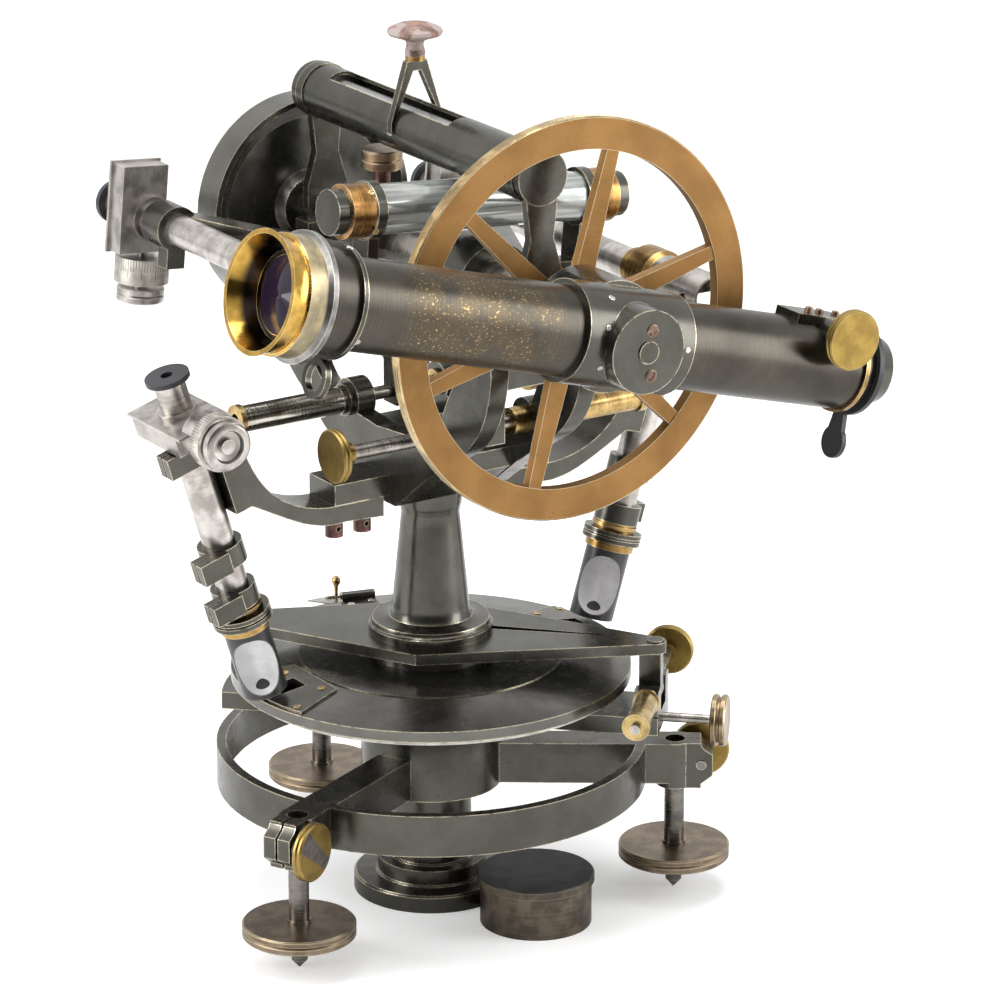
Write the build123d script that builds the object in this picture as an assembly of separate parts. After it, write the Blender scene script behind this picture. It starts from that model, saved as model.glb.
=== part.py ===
from build123d import *

import os
from math import cos, radians, sin

# Universal theodolite with micrometer microscopes. Millimetres. Z is up and X runs along the level
# telescope with the eyepiece at +X. The origin is on the vertical axis at the floor. The telescope
# hangs on the -Y side of the yoke.

# Fits and gaps
SHAFT_GAP = 0.05
SIDE_GAP = 0.3

# Tribrach
PEDESTAL_R = 39.4
PEDESTAL_H = 9.0
STEP_R = 27.2
STEP_H = 8.5
NECK_R = 20.0
HUB_R = 35.3
HUB_BOTTOM = 58.0
HUB_TOP = 94.2
SPINDLE_R = 26.0
RING_R = 107.8
RING_WALL = 5.0
RING_BOTTOM = 58.6
RING_H = 21.2
ARM_W = 18.0
FOOT_CIRCLE_R = 122.2
FOOT_AZIMUTHS = (-154.3, -34.3, 85.7)
BOSS_R = 9.3
BOSS_BOTTOM = 55.8
EAR_W = 15.0
EAR_REACH = 19.0
EAR_STEP = 13.2
EAR_END_LOW = 62.5
EAR_END_HIGH = 73.5
SLIT_W = 1.2

# Levelling screws and foot clamps
SCREW_R = 5.0
SCREW_TOP = 72.0
THUMB_R = 27.9
THUMB_BOTTOM = 16.9
THUMB_T = 7.2
GROOVE = 0.7
POINT_R = 4.0
POINT_CONE_H = 4.0
FOOT_CLAMP_ROD_R = 2.4
FOOT_CLAMP_Z = 68.3
FOOT_CLAMP_KNOB_R = 14.5
FOOT_CLAMP_KNOB_T = 4.8
FOOT_CLAMP_STAND = 6.6

# Vertical axis and horizontal circle
AXIS_R = 9.0
AXIS_TOP = 150.0
CIRCLE_BOTTOM = 112.0
CIRCLE_TOP = 117.0
CIRCLE_R = 95.5
CIRCLE_BOSS_R = 34.0
COVER_R = 100.0
COVER_RIM_BOTTOM = 115.0
COVER_RIM_TOP = 120.5
COVER_STEP_R = 66.0
COVER_STEP_TOP = 125.0
COVER_WALL = 2.6
WINDOW_PLATE_T = 1.2
WINDOW_X = 83.5
WINDOW_INNER_X = 67.5
WINDOW_INNER_HALF = 20.5
WINDOW_OUTER_HALF = 32.5

# Azimuth clamp
CLAMP_AZIMUTH = -43.0
CLAMP_TOP = 103.5
CLAMP_T = 9.0
CLAMP_HALF_W = 18.0
CLAMP_TAIL_R = 105.0
CLAMP_COLLAR_R = 38.0
TANGENT_R = 111.5
TANGENT_Z = 112.0
BLOCK_INNER_R = 105.0
BLOCK_OUTER_R = 117.3
BLOCK_FRONT = 17.0
BLOCK_SLOT = 8.2
BLOCK_REAR = 17.0
BLOCK_TOP = 117.0
AZ_BARREL_R = 6.0
AZ_BARREL_LEN = 33.0
AZ_CAP_R = 6.9
AZ_CAP_T = 3.6
AZ_PLUNGER_R = 2.4
AZ_KNOB_R = 12.7
AZ_KNOB_T = 4.6
AZ_KNOB_FACE = 61.0
CLAMP_SCREW_Z = 98.0
CLAMP_SCREW_R = 2.4
CLAMP_KNOB_R = 13.0
CLAMP_KNOB_REACH = 149.5
CLAMP_KNOB_T = 7.5
LUG_HALF = 4.6

# Alidade plate and column
PLATE_TOP = 138.0
PLATE_T = 5.6
PLATE_LONG_R = 113.0
PLATE_VERTEX_R = 41.0
PLATE_TIP_R = 5.5
FLANGE_R = 31.0
FLANGE_TOP_R = 29.2
FLANGE_TOP = 144.6
COLUMN_FOOT_R = 19.7
COLUMN_HEAD_R = 14.5
COLUMN_HEAD = 199.6
COLUMN_LIP_R = 15.7
COLUMN_TOP = 212.0

# Yoke
YOKE_INNER_X = 21.0
YOKE_T = 10.0
YOKE_TOP = 323.0
BEARING_Y = 85.0
BEARING_W = 12.0
PIVOT_R = 9.0
AXIS_Z = 329.5
BAR_REACH = 62.4
BAR_HALF_Y = 12.0
BAR_BOTTOM = 216.4
BAR_TOP = 227.0

# Tangent lines in the yoke
LINE_A_Y = 27.0
LINE_A_Z = 255.5
LINE_B_Y = -52.0
LINE_B_Z = 257.5
BARREL_R = 6.7
LINE_BOSS_R = 10.5
HANGING_ARM_HALF_X = 6.2
HANGING_ARM_HALF_Y = 6.0
LINE_KNOB_R = 13.2
LINE_KNOB_T = 4.4
LINE_ROD_R = 3.3
LINE_SCREW_R = 3.6

# Horizontal axis group
AXIS_TUBE_R = 12.8
AXIS_TUBE_HALF = 74.0
CLAMP_RING_R = 21.0
CLAMP_RING_Y0 = 20.0
CLAMP_RING_Y1 = 50.0
CLAMP_STEM_Y = 43.0
CLAMP_STEM_TOP = 375.0
DRUM_R = 56.5
DRUM_Y0 = 109.2
DRUM_Y1 = 127.4
WHEEL_R = 97.6
WHEEL_INNER_R = 82.0
WHEEL_FRONT_Y = -127.0
WHEEL_T = 6.0
SPOKE_ROOT_W = 11.3
SPOKE_TIP_W = 6.8
SPOKE_COUNT = 6
WHEEL_HUB_R = 19.0
BOSS_PLATE_R = 27.0

# Telescope
TELESCOPE_Y = -158.3
TELESCOPE_TILT = 15.4
TUBE_R = 21.4
TUBE_FRONT = 154.5
EYE_TUBE_R = 20.8
EYE_TUBE_END = 135.0
SLEEVE_R = 24.3
SLEEVE_HALF = 30.5
LENS_R = 18.0

# Index frame
INDEX_TILT = 5.27
MICRO_X = 92.9
MICRO_TUBE_R = 7.8
INDEX_RING_R = 21.0
INDEX_RING_Y0 = -59.0
INDEX_RING_Y1 = -31.0
LEVEL_Y = -36.0
LEVEL_RISE = 35.7
LEVEL_GLASS_R = 12.2

# Slanted microscopes
EYE_POINT = (-147.9, 0, 294.8)
EYE_SLANT = 16.9

# Striding level
STRIDE_Z = 392.4
STRIDE_R = 13.7
STRIDE_RING_R = 14.4
STRIDE_Y0 = -100.0
STRIDE_Y1 = 106.0
STRIDE_LEG_Y = 97.0
STRIDE_LEG_T = 5.0

# Loose cap
CAP_LID_R = 29.2
CAP_R = 27.8
CAP_H = 26.1
CAP_AZIMUTH = -74.4

os.makedirs("parts", exist_ok=True)


def turned(*corners):
    """A solid of revolution about Z from (radius, height) corners."""
    return revolve(make_face(Polyline(*[(r, 0, h) for r, h in corners], close=True)), Axis.Z)


def rod(radius, start, end):
    """A cylinder about Z between two heights."""
    return Pos(0, 0, start) * Cylinder(radius, end - start, align=(Align.CENTER, Align.CENTER, Align.MIN))


def tube(radius, bore, start, end):
    """A pipe about Z between two heights."""
    return rod(radius, start, end) - rod(bore, start - 1, end + 1)


def block(x0, x1, y0, y1, z0, z1):
    """A box between two corners."""
    return Pos((x0 + x1) / 2, (y0 + y1) / 2, (z0 + z1) / 2) * Box(x1 - x0, y1 - y0, z1 - z0)


def aimed(origin, direction, sideways):
    """A placement with Z along direction and X along sideways."""
    return Plane(origin=origin, x_dir=sideways, z_dir=direction).location


def azimuth(angle):
    """A turn about the vertical axis."""
    return Rot(0, 0, angle)


def grooved_disc(radius, start, end, grooves=1):
    """A knob disc whose rim carries V grooves between rounded edges."""
    pitch = (end - start) / (grooves + 1)
    corners = [(0, start), (radius - GROOVE, start)]
    for i in range(grooves + 1):
        low = start + i * pitch
        corners += [(radius, low + GROOVE), (radius, low + pitch - GROOVE)]
        corners.append((radius - GROOVE, low + pitch))
    corners.append((0, end))
    return turned(*corners)


def save(shape, name):
    """Write one named piece."""
    export_step(shape, f"parts/{name}.step")


def pieces(*solids):
    """Several separate solids of one piece."""
    return Compound(children=[s for shape in solids for s in shape.solids()])


# Tribrach casting
RING_TOP = RING_BOTTOM + RING_H
casting = turned(
    (0, 0), (PEDESTAL_R, 0), (PEDESTAL_R, PEDESTAL_H - 1), (PEDESTAL_R - 1, PEDESTAL_H),
    (STEP_R + 1, PEDESTAL_H), (STEP_R, PEDESTAL_H + 1), (STEP_R, PEDESTAL_H + STEP_H),
    (NECK_R + 1, PEDESTAL_H + STEP_H), (NECK_R, PEDESTAL_H + STEP_H + 1), (NECK_R, HUB_BOTTOM),
    (HUB_R, HUB_BOTTOM), (HUB_R, HUB_TOP), (SPINDLE_R, HUB_TOP), (SPINDLE_R, CLAMP_TOP + 0.5),
    (AXIS_R, CLAMP_TOP + 0.5), (AXIS_R, AXIS_TOP), (0, AXIS_TOP))
casting += tube(RING_R, RING_R - RING_WALL, RING_BOTTOM, RING_TOP)
ear_outline = Polyline(
    (0, BOSS_BOTTOM), (EAR_STEP, BOSS_BOTTOM), (EAR_STEP, BOSS_BOTTOM + 2.2),
    (EAR_REACH, EAR_END_LOW), (EAR_REACH, EAR_END_HIGH), (EAR_STEP + 1.6, RING_TOP - 3.6),
    (EAR_STEP, RING_TOP - 1.5), (EAR_STEP, RING_TOP), (0, RING_TOP), close=True)
ear = extrude(Plane.XZ * make_face(ear_outline), EAR_W / 2, both=True)
for angle in FOOT_AZIMUTHS:
    arm = block(0, FOOT_CIRCLE_R, -ARM_W / 2, ARM_W / 2, RING_BOTTOM, RING_TOP)
    foot = Pos(FOOT_CIRCLE_R, 0, 0)
    casting += azimuth(angle) * (arm + foot * (rod(BOSS_R, BOSS_BOTTOM, RING_TOP) + ear))
for angle in FOOT_AZIMUTHS:
    foot = azimuth(angle) * Pos(FOOT_CIRCLE_R, 0, 0)
    slit = block(0, EAR_REACH + 2, -SLIT_W / 2, SLIT_W / 2, BOSS_BOTTOM - 1, RING_TOP + 1)
    bolt = Pos(EAR_STEP, 0, FOOT_CLAMP_Z) * Rot(90, 0, 0) * rod(FOOT_CLAMP_ROD_R + SHAFT_GAP, -EAR_W, EAR_W)
    casting -= foot * (rod(SCREW_R + SHAFT_GAP, BOSS_BOTTOM - 1, RING_TOP + 1) + slit + bolt)
save(casting, "base_casting")

limb = turned(
    (AXIS_R + SHAFT_GAP, CLAMP_TOP + 0.5), (CIRCLE_BOSS_R, CLAMP_TOP + 0.5), (CIRCLE_BOSS_R, CIRCLE_BOTTOM),
    (CIRCLE_R, CIRCLE_BOTTOM), (CIRCLE_R, CIRCLE_TOP), (AXIS_R + SHAFT_GAP, CIRCLE_TOP))
save(limb, "horizontal_circle")

# Levelling screws with thumb discs, steel points and clamp knobs
thumb_screw = rod(SCREW_R, THUMB_BOTTOM + THUMB_T, SCREW_TOP)
thumb_screw += grooved_disc(THUMB_R, THUMB_BOTTOM, THUMB_BOTTOM + THUMB_T)
thumb_screw += rod(SCREW_R + 0.8, THUMB_BOTTOM + THUMB_T, THUMB_BOTTOM + THUMB_T + 1.2)
point = turned((0, 0), (0.4, 0), (POINT_R, POINT_CONE_H), (POINT_R, THUMB_BOTTOM), (0, THUMB_BOTTOM))
clamp_end = EAR_W / 2 + FOOT_CLAMP_STAND
foot_clamp = rod(FOOT_CLAMP_ROD_R, -EAR_W / 2 - 1, clamp_end + 1)
foot_clamp += rod(FOOT_CLAMP_ROD_R + 2.4, EAR_W / 2 + SIDE_GAP, clamp_end)
foot_clamp += grooved_disc(FOOT_CLAMP_KNOB_R, clamp_end, clamp_end + FOOT_CLAMP_KNOB_T)
for number, angle in enumerate(FOOT_AZIMUTHS, 1):
    foot = azimuth(angle) * Pos(FOOT_CIRCLE_R, 0, 0)
    save(foot * thumb_screw, f"levelling_screw_{number}")
    save(foot * point, f"foot_point_{number}")
    save(foot * Pos(EAR_STEP, 0, FOOT_CLAMP_Z) * Rot(-90, 0, 0) * foot_clamp, f"foot_clamp_{number}")

# Azimuth clamp: bar, collar and slotted tangent block, drawn with the bar along X
clamp_low = CLAMP_TOP - CLAMP_T
bar = block(-CLAMP_TAIL_R, BLOCK_OUTER_R, -CLAMP_HALF_W, CLAMP_HALF_W, clamp_low, CLAMP_TOP)
bar &= (rod(CLAMP_TAIL_R, clamp_low, CLAMP_TOP)
    + block(0, BLOCK_OUTER_R, -CLAMP_HALF_W, CLAMP_HALF_W, clamp_low, CLAMP_TOP))
clamp_arm = bar + rod(CLAMP_COLLAR_R, clamp_low, CLAMP_TOP)
clamp_arm += block(BLOCK_INNER_R, BLOCK_OUTER_R, -BLOCK_FRONT, BLOCK_REAR, clamp_low, BLOCK_TOP)
clamp_arm -= block(BLOCK_INNER_R - 1, BLOCK_OUTER_R + 1, -BLOCK_SLOT, BLOCK_SLOT, CLAMP_TOP, BLOCK_TOP + 1)
clamp_arm -= rod(SPINDLE_R + SHAFT_GAP, clamp_low - 1, CLAMP_TOP + 1)
along_tangent = aimed((TANGENT_R, 0, TANGENT_Z), (0, 1, 0), (0, 0, 1))
clamp_arm -= along_tangent * rod(AZ_PLUNGER_R + SHAFT_GAP, -BLOCK_FRONT - 1, BLOCK_REAR + 1)
clamp_arm -= aimed((0, 0, CLAMP_SCREW_Z), (1, 0, 0), (0, 1, 0)) * rod(
    CLAMP_SCREW_R + SHAFT_GAP, SPINDLE_R + 0.5, BLOCK_OUTER_R + 1)
save(azimuth(CLAMP_AZIMUTH) * clamp_arm, "azimuth_clamp_arm")

spring_cap = BLOCK_FRONT + AZ_BARREL_LEN
spring_barrel = tube(AZ_BARREL_R, AZ_PLUNGER_R + SHAFT_GAP, -spring_cap, -BLOCK_FRONT)
spring_barrel += tube(AZ_BARREL_R + 0.7, AZ_PLUNGER_R + SHAFT_GAP, -BLOCK_FRONT - 2.2, -BLOCK_FRONT)
spring_barrel += tube(AZ_CAP_R, AZ_PLUNGER_R + SHAFT_GAP, -spring_cap - AZ_CAP_T, -spring_cap)
save(azimuth(CLAMP_AZIMUTH) * along_tangent * spring_barrel, "azimuth_spring_barrel")

lug_side = LUG_HALF + SIDE_GAP
plunger = rod(AZ_PLUNGER_R, -spring_cap - AZ_CAP_T - 3.5, -lug_side)
save(azimuth(CLAMP_AZIMUTH) * along_tangent * plunger, "azimuth_plunger")
az_screw = (rod(AZ_PLUNGER_R - 0.5, lug_side, lug_side + 1.5)
    + rod(AZ_PLUNGER_R, lug_side + 1.5, AZ_KNOB_FACE - AZ_KNOB_T))
az_screw += grooved_disc(AZ_KNOB_R, AZ_KNOB_FACE - AZ_KNOB_T, AZ_KNOB_FACE)
az_screw += rod(5.0, AZ_KNOB_FACE - AZ_KNOB_T - 4, AZ_KNOB_FACE - AZ_KNOB_T)
save(azimuth(CLAMP_AZIMUTH) * along_tangent * az_screw, "azimuth_tangent_screw")

knob_start = CLAMP_KNOB_REACH - CLAMP_KNOB_T
clamp_screw = rod(CLAMP_SCREW_R, SPINDLE_R + 1, knob_start)
clamp_screw += grooved_disc(CLAMP_KNOB_R, knob_start, knob_start + CLAMP_KNOB_T / 2 - 0.6, 0)
clamp_screw += rod(CLAMP_KNOB_R - 1.8, knob_start, CLAMP_KNOB_REACH)
clamp_screw += grooved_disc(CLAMP_KNOB_R, knob_start + CLAMP_KNOB_T / 2 + 0.6, CLAMP_KNOB_REACH, 0)
save(azimuth(CLAMP_AZIMUTH) * aimed((0, 0, CLAMP_SCREW_Z), (1, 0, 0), (0, 1, 0)) * clamp_screw,
    "azimuth_clamp_screw")

# Circle cover: a shallow dish turned over the divided circle, with two windows
cover_slope = (COVER_STEP_TOP - COVER_RIM_TOP) / (COVER_R - COVER_STEP_R)
cover = turned(
    (AXIS_R + SHAFT_GAP, CIRCLE_TOP), (CIRCLE_BOSS_R, CIRCLE_TOP),
    (CIRCLE_BOSS_R, COVER_STEP_TOP - COVER_WALL),
    (COVER_STEP_R, COVER_STEP_TOP - COVER_WALL),
    (CIRCLE_R + 1, COVER_RIM_TOP - COVER_WALL + (COVER_R - CIRCLE_R - 1) * cover_slope),
    (CIRCLE_R + 1, COVER_RIM_BOTTOM), (COVER_R, COVER_RIM_BOTTOM), (COVER_R, COVER_RIM_TOP),
    (COVER_STEP_R, COVER_STEP_TOP), (COVER_STEP_R, COVER_STEP_TOP + 0.6), (FLANGE_R, COVER_STEP_TOP + 1.2),
    (FLANGE_R, PLATE_TOP - PLATE_T), (AXIS_R + SHAFT_GAP, PLATE_TOP - PLATE_T))
cover_surface = turned(
    (COVER_STEP_R, COVER_STEP_TOP),
    (COVER_R - 1.5, COVER_RIM_TOP + 1.5 * cover_slope),
    (COVER_R - 1.5, COVER_RIM_TOP + 1.5 * cover_slope + WINDOW_PLATE_T),
    (COVER_STEP_R, COVER_STEP_TOP + WINDOW_PLATE_T))
fittings = []
for side in (-1, 1):
    window = block(side * WINDOW_X - 7, side * WINDOW_X + 7, -6, 6, COVER_RIM_BOTTOM, PLATE_TOP - PLATE_T)
    cover -= window
    outline = Polyline(
        (side * WINDOW_INNER_X, -WINDOW_INNER_HALF), (side * COVER_R, -WINDOW_OUTER_HALF),
        (side * COVER_R, WINDOW_OUTER_HALF), (side * WINDOW_INNER_X, WINDOW_INNER_HALF), close=True)
    pad = cover_surface & Pos(0, 0, CIRCLE_TOP) * extrude(make_face(outline), 20)
    fittings.append(pad - window - cover)

# Flap: a hinge plate on the cover with a turning pin, a silvered leaf and a ball knob
FLAP_AZIMUTH = 76.1
FLAP_R = 92.9
FLAP_SIDE = 17.8
FLAP_Z = 124.6
FLAP_PIN_R = 1.3
FLAP_BARREL_R = 2.4
FLAP_LEN = 18.0
FLAP_LEAF = 17.0
flap_base = azimuth(FLAP_AZIMUTH) * Pos(FLAP_R, FLAP_SIDE, FLAP_Z)
hinge_plate = block(-12.5, 0, -FLAP_LEN, 0, -2.6, -1.4)
hinge_plate += Rot(90, 0, 0) * rod(FLAP_BARREL_R, 0, FLAP_LEN)
hinge_plate -= Rot(90, 0, 0) * rod(FLAP_PIN_R + SHAFT_GAP, -1, FLAP_LEN + 1)
hinge_plate += block(-12.5, -1, -FLAP_LEN, 0, -5.5, -2.6)
fittings.append(flap_base * hinge_plate - cover - rod(CIRCLE_R + 1, COVER_RIM_BOTTOM, COVER_RIM_TOP))
leaf = extrude(make_face(Polyline((-8.5, 8), (-6.5, 1), (1.5, 1), (1.5, 10), (0, 1 + FLAP_LEAF),
    close=True)), 0.7)
leaf = Pos(0, 0, -0.35) * leaf + Rot(-90, 0, 0) * rod(FLAP_PIN_R, -FLAP_LEN + 0.5, 8)
knob_post = turned((0, 0), (1.1, 0), (0.9, 3), (1.1, 6.0), (2.3, 8.0), (2.3, 9.6), (1.3, 11.0), (0, 11.3))
leaf += Pos(0, 2.4, 0.3) * knob_post
save(flap_base * leaf, "flap_leaf")
save(cover, "circle_cover")
save(pieces(*fittings), "cover_fittings")

# Rhombic alidade plate with the tangent lug under its tip, drawn with the long axis along X
plate = extrude(make_face(Polyline(
    (PLATE_LONG_R, PLATE_TIP_R), (0, PLATE_VERTEX_R), (-PLATE_LONG_R + 6, PLATE_TIP_R),
    (-PLATE_LONG_R + 6, -PLATE_TIP_R), (0, -PLATE_VERTEX_R), (PLATE_LONG_R, -PLATE_TIP_R), close=True)),
    PLATE_T)
plate = Pos(0, 0, PLATE_TOP - PLATE_T) * plate
plate += Pos(PLATE_LONG_R, 0, 0) * rod(PLATE_TIP_R, PLATE_TOP - PLATE_T, PLATE_TOP)
plate += Pos(PLATE_LONG_R, 0, 0) * rod(PLATE_TIP_R - 1.2, PLATE_TOP, PLATE_TOP + 0.8)
plate += block(BLOCK_INNER_R + 0.5, BLOCK_OUTER_R - 0.8, -LUG_HALF, LUG_HALF, TANGENT_Z,
    PLATE_TOP - PLATE_T)
plate += along_tangent * rod(5.4, -LUG_HALF, LUG_HALF)
slot = extrude(make_face(Polyline((30, 7.5), (88, 4.2), (88, 3.0), (30, 3.0), close=True)), PLATE_T + 2)
plate -= Pos(0, 0, PLATE_TOP - PLATE_T - 1) * slot
plate -= rod(AXIS_R + SHAFT_GAP, PLATE_TOP - PLATE_T - 1, PLATE_TOP + 1)
save(azimuth(CLAMP_AZIMUTH) * plate, "alidade_plate")

# Tapered column between the plate and the yoke
column = turned(
    (0, AXIS_TOP + 1), (AXIS_R + SHAFT_GAP, AXIS_TOP + 1), (AXIS_R + SHAFT_GAP, PLATE_TOP),
    (FLANGE_R, PLATE_TOP),
    (FLANGE_R, PLATE_TOP + 3.4), (FLANGE_TOP_R + 0.6, PLATE_TOP + 4.4),
    (FLANGE_TOP_R + 0.6, FLANGE_TOP - 1.2),
    (FLANGE_TOP_R, FLANGE_TOP), (COLUMN_FOOT_R + 4, FLANGE_TOP), (COLUMN_FOOT_R + 1, FLANGE_TOP + 1.2),
    (COLUMN_FOOT_R, FLANGE_TOP + 2.6), (COLUMN_HEAD_R, COLUMN_HEAD), (COLUMN_LIP_R - 0.4, COLUMN_HEAD + 4),
    (COLUMN_LIP_R, COLUMN_HEAD + 5.4), (COLUMN_LIP_R, COLUMN_TOP), (0, COLUMN_TOP))
save(column, "column")

# Yoke: two U-shaped plates, a base block between them and bridges that carry the bearings
yoke_outer = [(46, 234), (54, 239), (65, 247), (79, 256), (87, 263), (94, 272), (100, 285), (103, 300)]
yoke_inner = [(75, 300), (71, 290), (63, 276), (57, 265), (50, 259), (21, 251), (0, 249)]
YOKE_FOOT_HALF = 17.0
right_outer = Spline(*[(y, z, 0) for y, z in yoke_outer])
right_inner = Spline(*[(y, z, 0) for y, z in yoke_inner])
left_outer = right_outer.mirror(Plane.YZ)
left_inner = right_inner.mirror(Plane.YZ)
yoke_face = make_face(
    [right_outer, left_outer, right_inner, left_inner]
    + [Line((YOKE_FOOT_HALF, COLUMN_TOP, 0), (46, 234, 0)),
    Line((-YOKE_FOOT_HALF, COLUMN_TOP, 0), (-46, 234, 0))]
    + [Line((-YOKE_FOOT_HALF, COLUMN_TOP, 0), (YOKE_FOOT_HALF, COLUMN_TOP, 0))]
    + [Polyline((s * 103, 300), (s * 100, YOKE_TOP), (s * 77, YOKE_TOP), (s * 75, 300)) for s in (-1, 1)])
yoke_plate = extrude(yoke_face, YOKE_T)
for y, z in ((LINE_A_Y, LINE_A_Z), (LINE_B_Y, LINE_B_Z)):
    yoke_plate += Pos(y, z, 0) * rod(LINE_BOSS_R, 0, YOKE_T)
for y, z in ((LINE_A_Y, LINE_A_Z), (LINE_B_Y, LINE_B_Z)):
    yoke_plate -= Pos(y, z, 0) * rod(BARREL_R, -1, YOKE_T + 1)
yoke_plate -= block(-BAR_HALF_Y, BAR_HALF_Y, BAR_BOTTOM, BAR_TOP, -1, YOKE_T + 1)
on_right = aimed((YOKE_INNER_X, 0, 0), (1, 0, 0), (0, 1, 0))
on_left = aimed((-YOKE_INNER_X - YOKE_T, 0, 0), (1, 0, 0), (0, 1, 0))
save(on_left * yoke_plate, "yoke_plate_left")
save(on_right * yoke_plate, "yoke_plate_right")

base_block = aimed((-YOKE_INNER_X, 0, 0), (1, 0, 0), (0, 1, 0)) * extrude(make_face(Polyline(
    (-YOKE_FOOT_HALF, COLUMN_TOP), (YOKE_FOOT_HALF, COLUMN_TOP), (40, 230), (40, 240), (-40, 240),
    (-40, 230),
    close=True)), 2 * YOKE_INNER_X)
base_block -= block(-YOKE_INNER_X - 1, YOKE_INNER_X + 1, -BAR_HALF_Y, BAR_HALF_Y, BAR_BOTTOM, BAR_TOP)
bridges = [base_block]
for side in (-1, 1):
    y = side * BEARING_Y
    bearing = block(-YOKE_INNER_X, YOKE_INNER_X, y - BEARING_W / 2, y + BEARING_W / 2, 288, AXIS_Z + 2)
    bearing -= aimed((0, 0, AXIS_Z), (0, 1, 0), (1, 0, 0)) * rod(PIVOT_R + SHAFT_GAP, -110, 110)
    bearing -= block(-PIVOT_R - SHAFT_GAP, PIVOT_R + SHAFT_GAP, -110, 110, AXIS_Z, AXIS_Z + 9)
    bridges.append(bearing)
bridges.append(block(-BAR_REACH, BAR_REACH, -BAR_HALF_Y, BAR_HALF_Y, BAR_BOTTOM, BAR_TOP))
save(pieces(*bridges), "yoke_bridges")

# A C bracket and two capstan screws at each end of the cross bar
micro_axis = aimed(EYE_POINT, (sin(radians(EYE_SLANT)), 0, -cos(radians(EYE_SLANT))), (0, -1, 0))
H_TUBE_R = 8.1
bracket_inner = [(-62.4, 216.4), (-82.2, 220.1), (-93.4, 226), (-103.3, 235.9), (-110.9, 249), (-116, 264)]
bracket_outer = [(-56.8, 207.4), (-68.2, 207.5), (-87.9, 214.3), (-100.2, 220.6), (-109.0, 225.0)]
inner_edge = Spline(*[(x, z, 0) for x, z in bracket_inner])
outer_edge = Spline(*[(x, z, 0) for x, z in bracket_outer])
bracket_face = make_face([
    inner_edge, outer_edge,
    Polyline((-62.4, 216.4), (-34.4, 216.4), (-34.4, 206.3), (-56.8, 207.4)),
    Polyline((-109.0, 225.0), (-117.5, 222.5), (-130.5, 262.5), (-116, 264))])
bracket = Rot(90, 0, 0) * extrude(bracket_face, BAR_HALF_Y, both=True)
bracket -= micro_axis * rod(H_TUBE_R, -10, 200)
mirror_turn = azimuth(180)
save(pieces(bracket, mirror_turn * bracket), "microscope_brackets")

screws = []
for x in (-55.8, -39.7):
    screw = Pos(x, 0, 207.0) * rod(4.4, -10.2, -0.6) + Pos(x, 0, 207.0) * rod(2.0, -0.6, 2)
    screw -= Pos(x, 0, 201.2) * Rot(90, 0, 0) * rod(1.3, -6, 6)
    screw -= bracket
    screws += [screw, mirror_turn * screw]
save(pieces(*screws), "capstan_screws")

# Slanted microscopes: local Z runs down the tube and local X toward the drum
BOX_S0 = 20.0
BOX_S1 = 32.5
h_tube = tube(7.7, 6.4, 2.5, 19) + tube(9.9, 6.4, 17.5, BOX_S0)
h_tube += (block(-21.5, 20, -12.6, 14.6, BOX_S0 + 1.2, BOX_S1)
    + block(-23, 27, -13.6, 15.9, BOX_S0, BOX_S0 + 1.2))
h_tube += rod(H_TUBE_R, BOX_S1, 131)
drum_axis = aimed((0, 0, 26.5), (1, 0, 0), (0, 1, 0))
h_tube += drum_axis * rod(11.8, 20, 30.5)
h_tube -= drum_axis * rod(2.5 + SHAFT_GAP, 12, 31)
h_cap = tube(11, 3, 0, 2.5) + tube(6.3, 5.2, 2.5, 16)
both_ends = [turn * micro_axis for turn in (Pos(0, 0, 0), mirror_turn)]
save(pieces(*[end * part for end in both_ends for part in (h_tube, h_cap)]), "h_microscopes")
h_drum = rod(2.5, 14, 32) + rod(13.6, 31, 38.8) + rod(5, 38.8, 40)
h_drum += turned((0, 40), (11.2, 40), (12, 40.8), (12, 44.4), (11, 45), (8.2, 45), (7.2, 42.8),
    (3.6, 42.2), (3.6, 44.2), (0, 44.2))
save(micro_axis * drum_axis * h_drum, "h_drum_left")
save(mirror_turn * micro_axis * drum_axis * h_drum, "h_drum_right")

clamps = [tube(14.9, H_TUBE_R, 131, 133.4) + tube(14.2, H_TUBE_R, 133.4, 134.4) + tube(14.9, H_TUBE_R,
    134.4, 137)]
clamps += [tube(10.4, H_TUBE_R, 127, 131) + tube(11.6, H_TUBE_R, 128, 129.5), tube(12.4, 9.5, 137, 141)]
for start, end in ((33.5, 44.5), (93, 104), (117, 127)):
    ring = rod(11.3, start, end) + block(4, 14.5, 3, 19.5, start, end)
    ring -= rod(H_TUBE_R, start - 1, end + 1)
    ring -= block(8.6, 9.6, 7.5, 21, start - 1, end + 1)
    clamps.append(ring)
clamps = [micro_axis * part - bracket for part in clamps]
save(pieces(*clamps, *[mirror_turn * part for part in clamps]), "h_clamps")
REFLECTOR_R = 11.2
REFLECTOR_END = 177.2
reflector = rod(REFLECTOR_R, 141, REFLECTOR_END)
reflector -= rod(REFLECTOR_R - 1.2, 142, REFLECTOR_END - 3)
reflector -= Pos(9, 4, 158) * Rot(0, -24, 0) * Box(16, 30, 28)
reflector -= rod(3.2, REFLECTOR_END - 4, REFLECTOR_END + 1)
save(pieces(micro_axis * reflector, mirror_turn * micro_axis * reflector), "h_reflectors")

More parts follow.
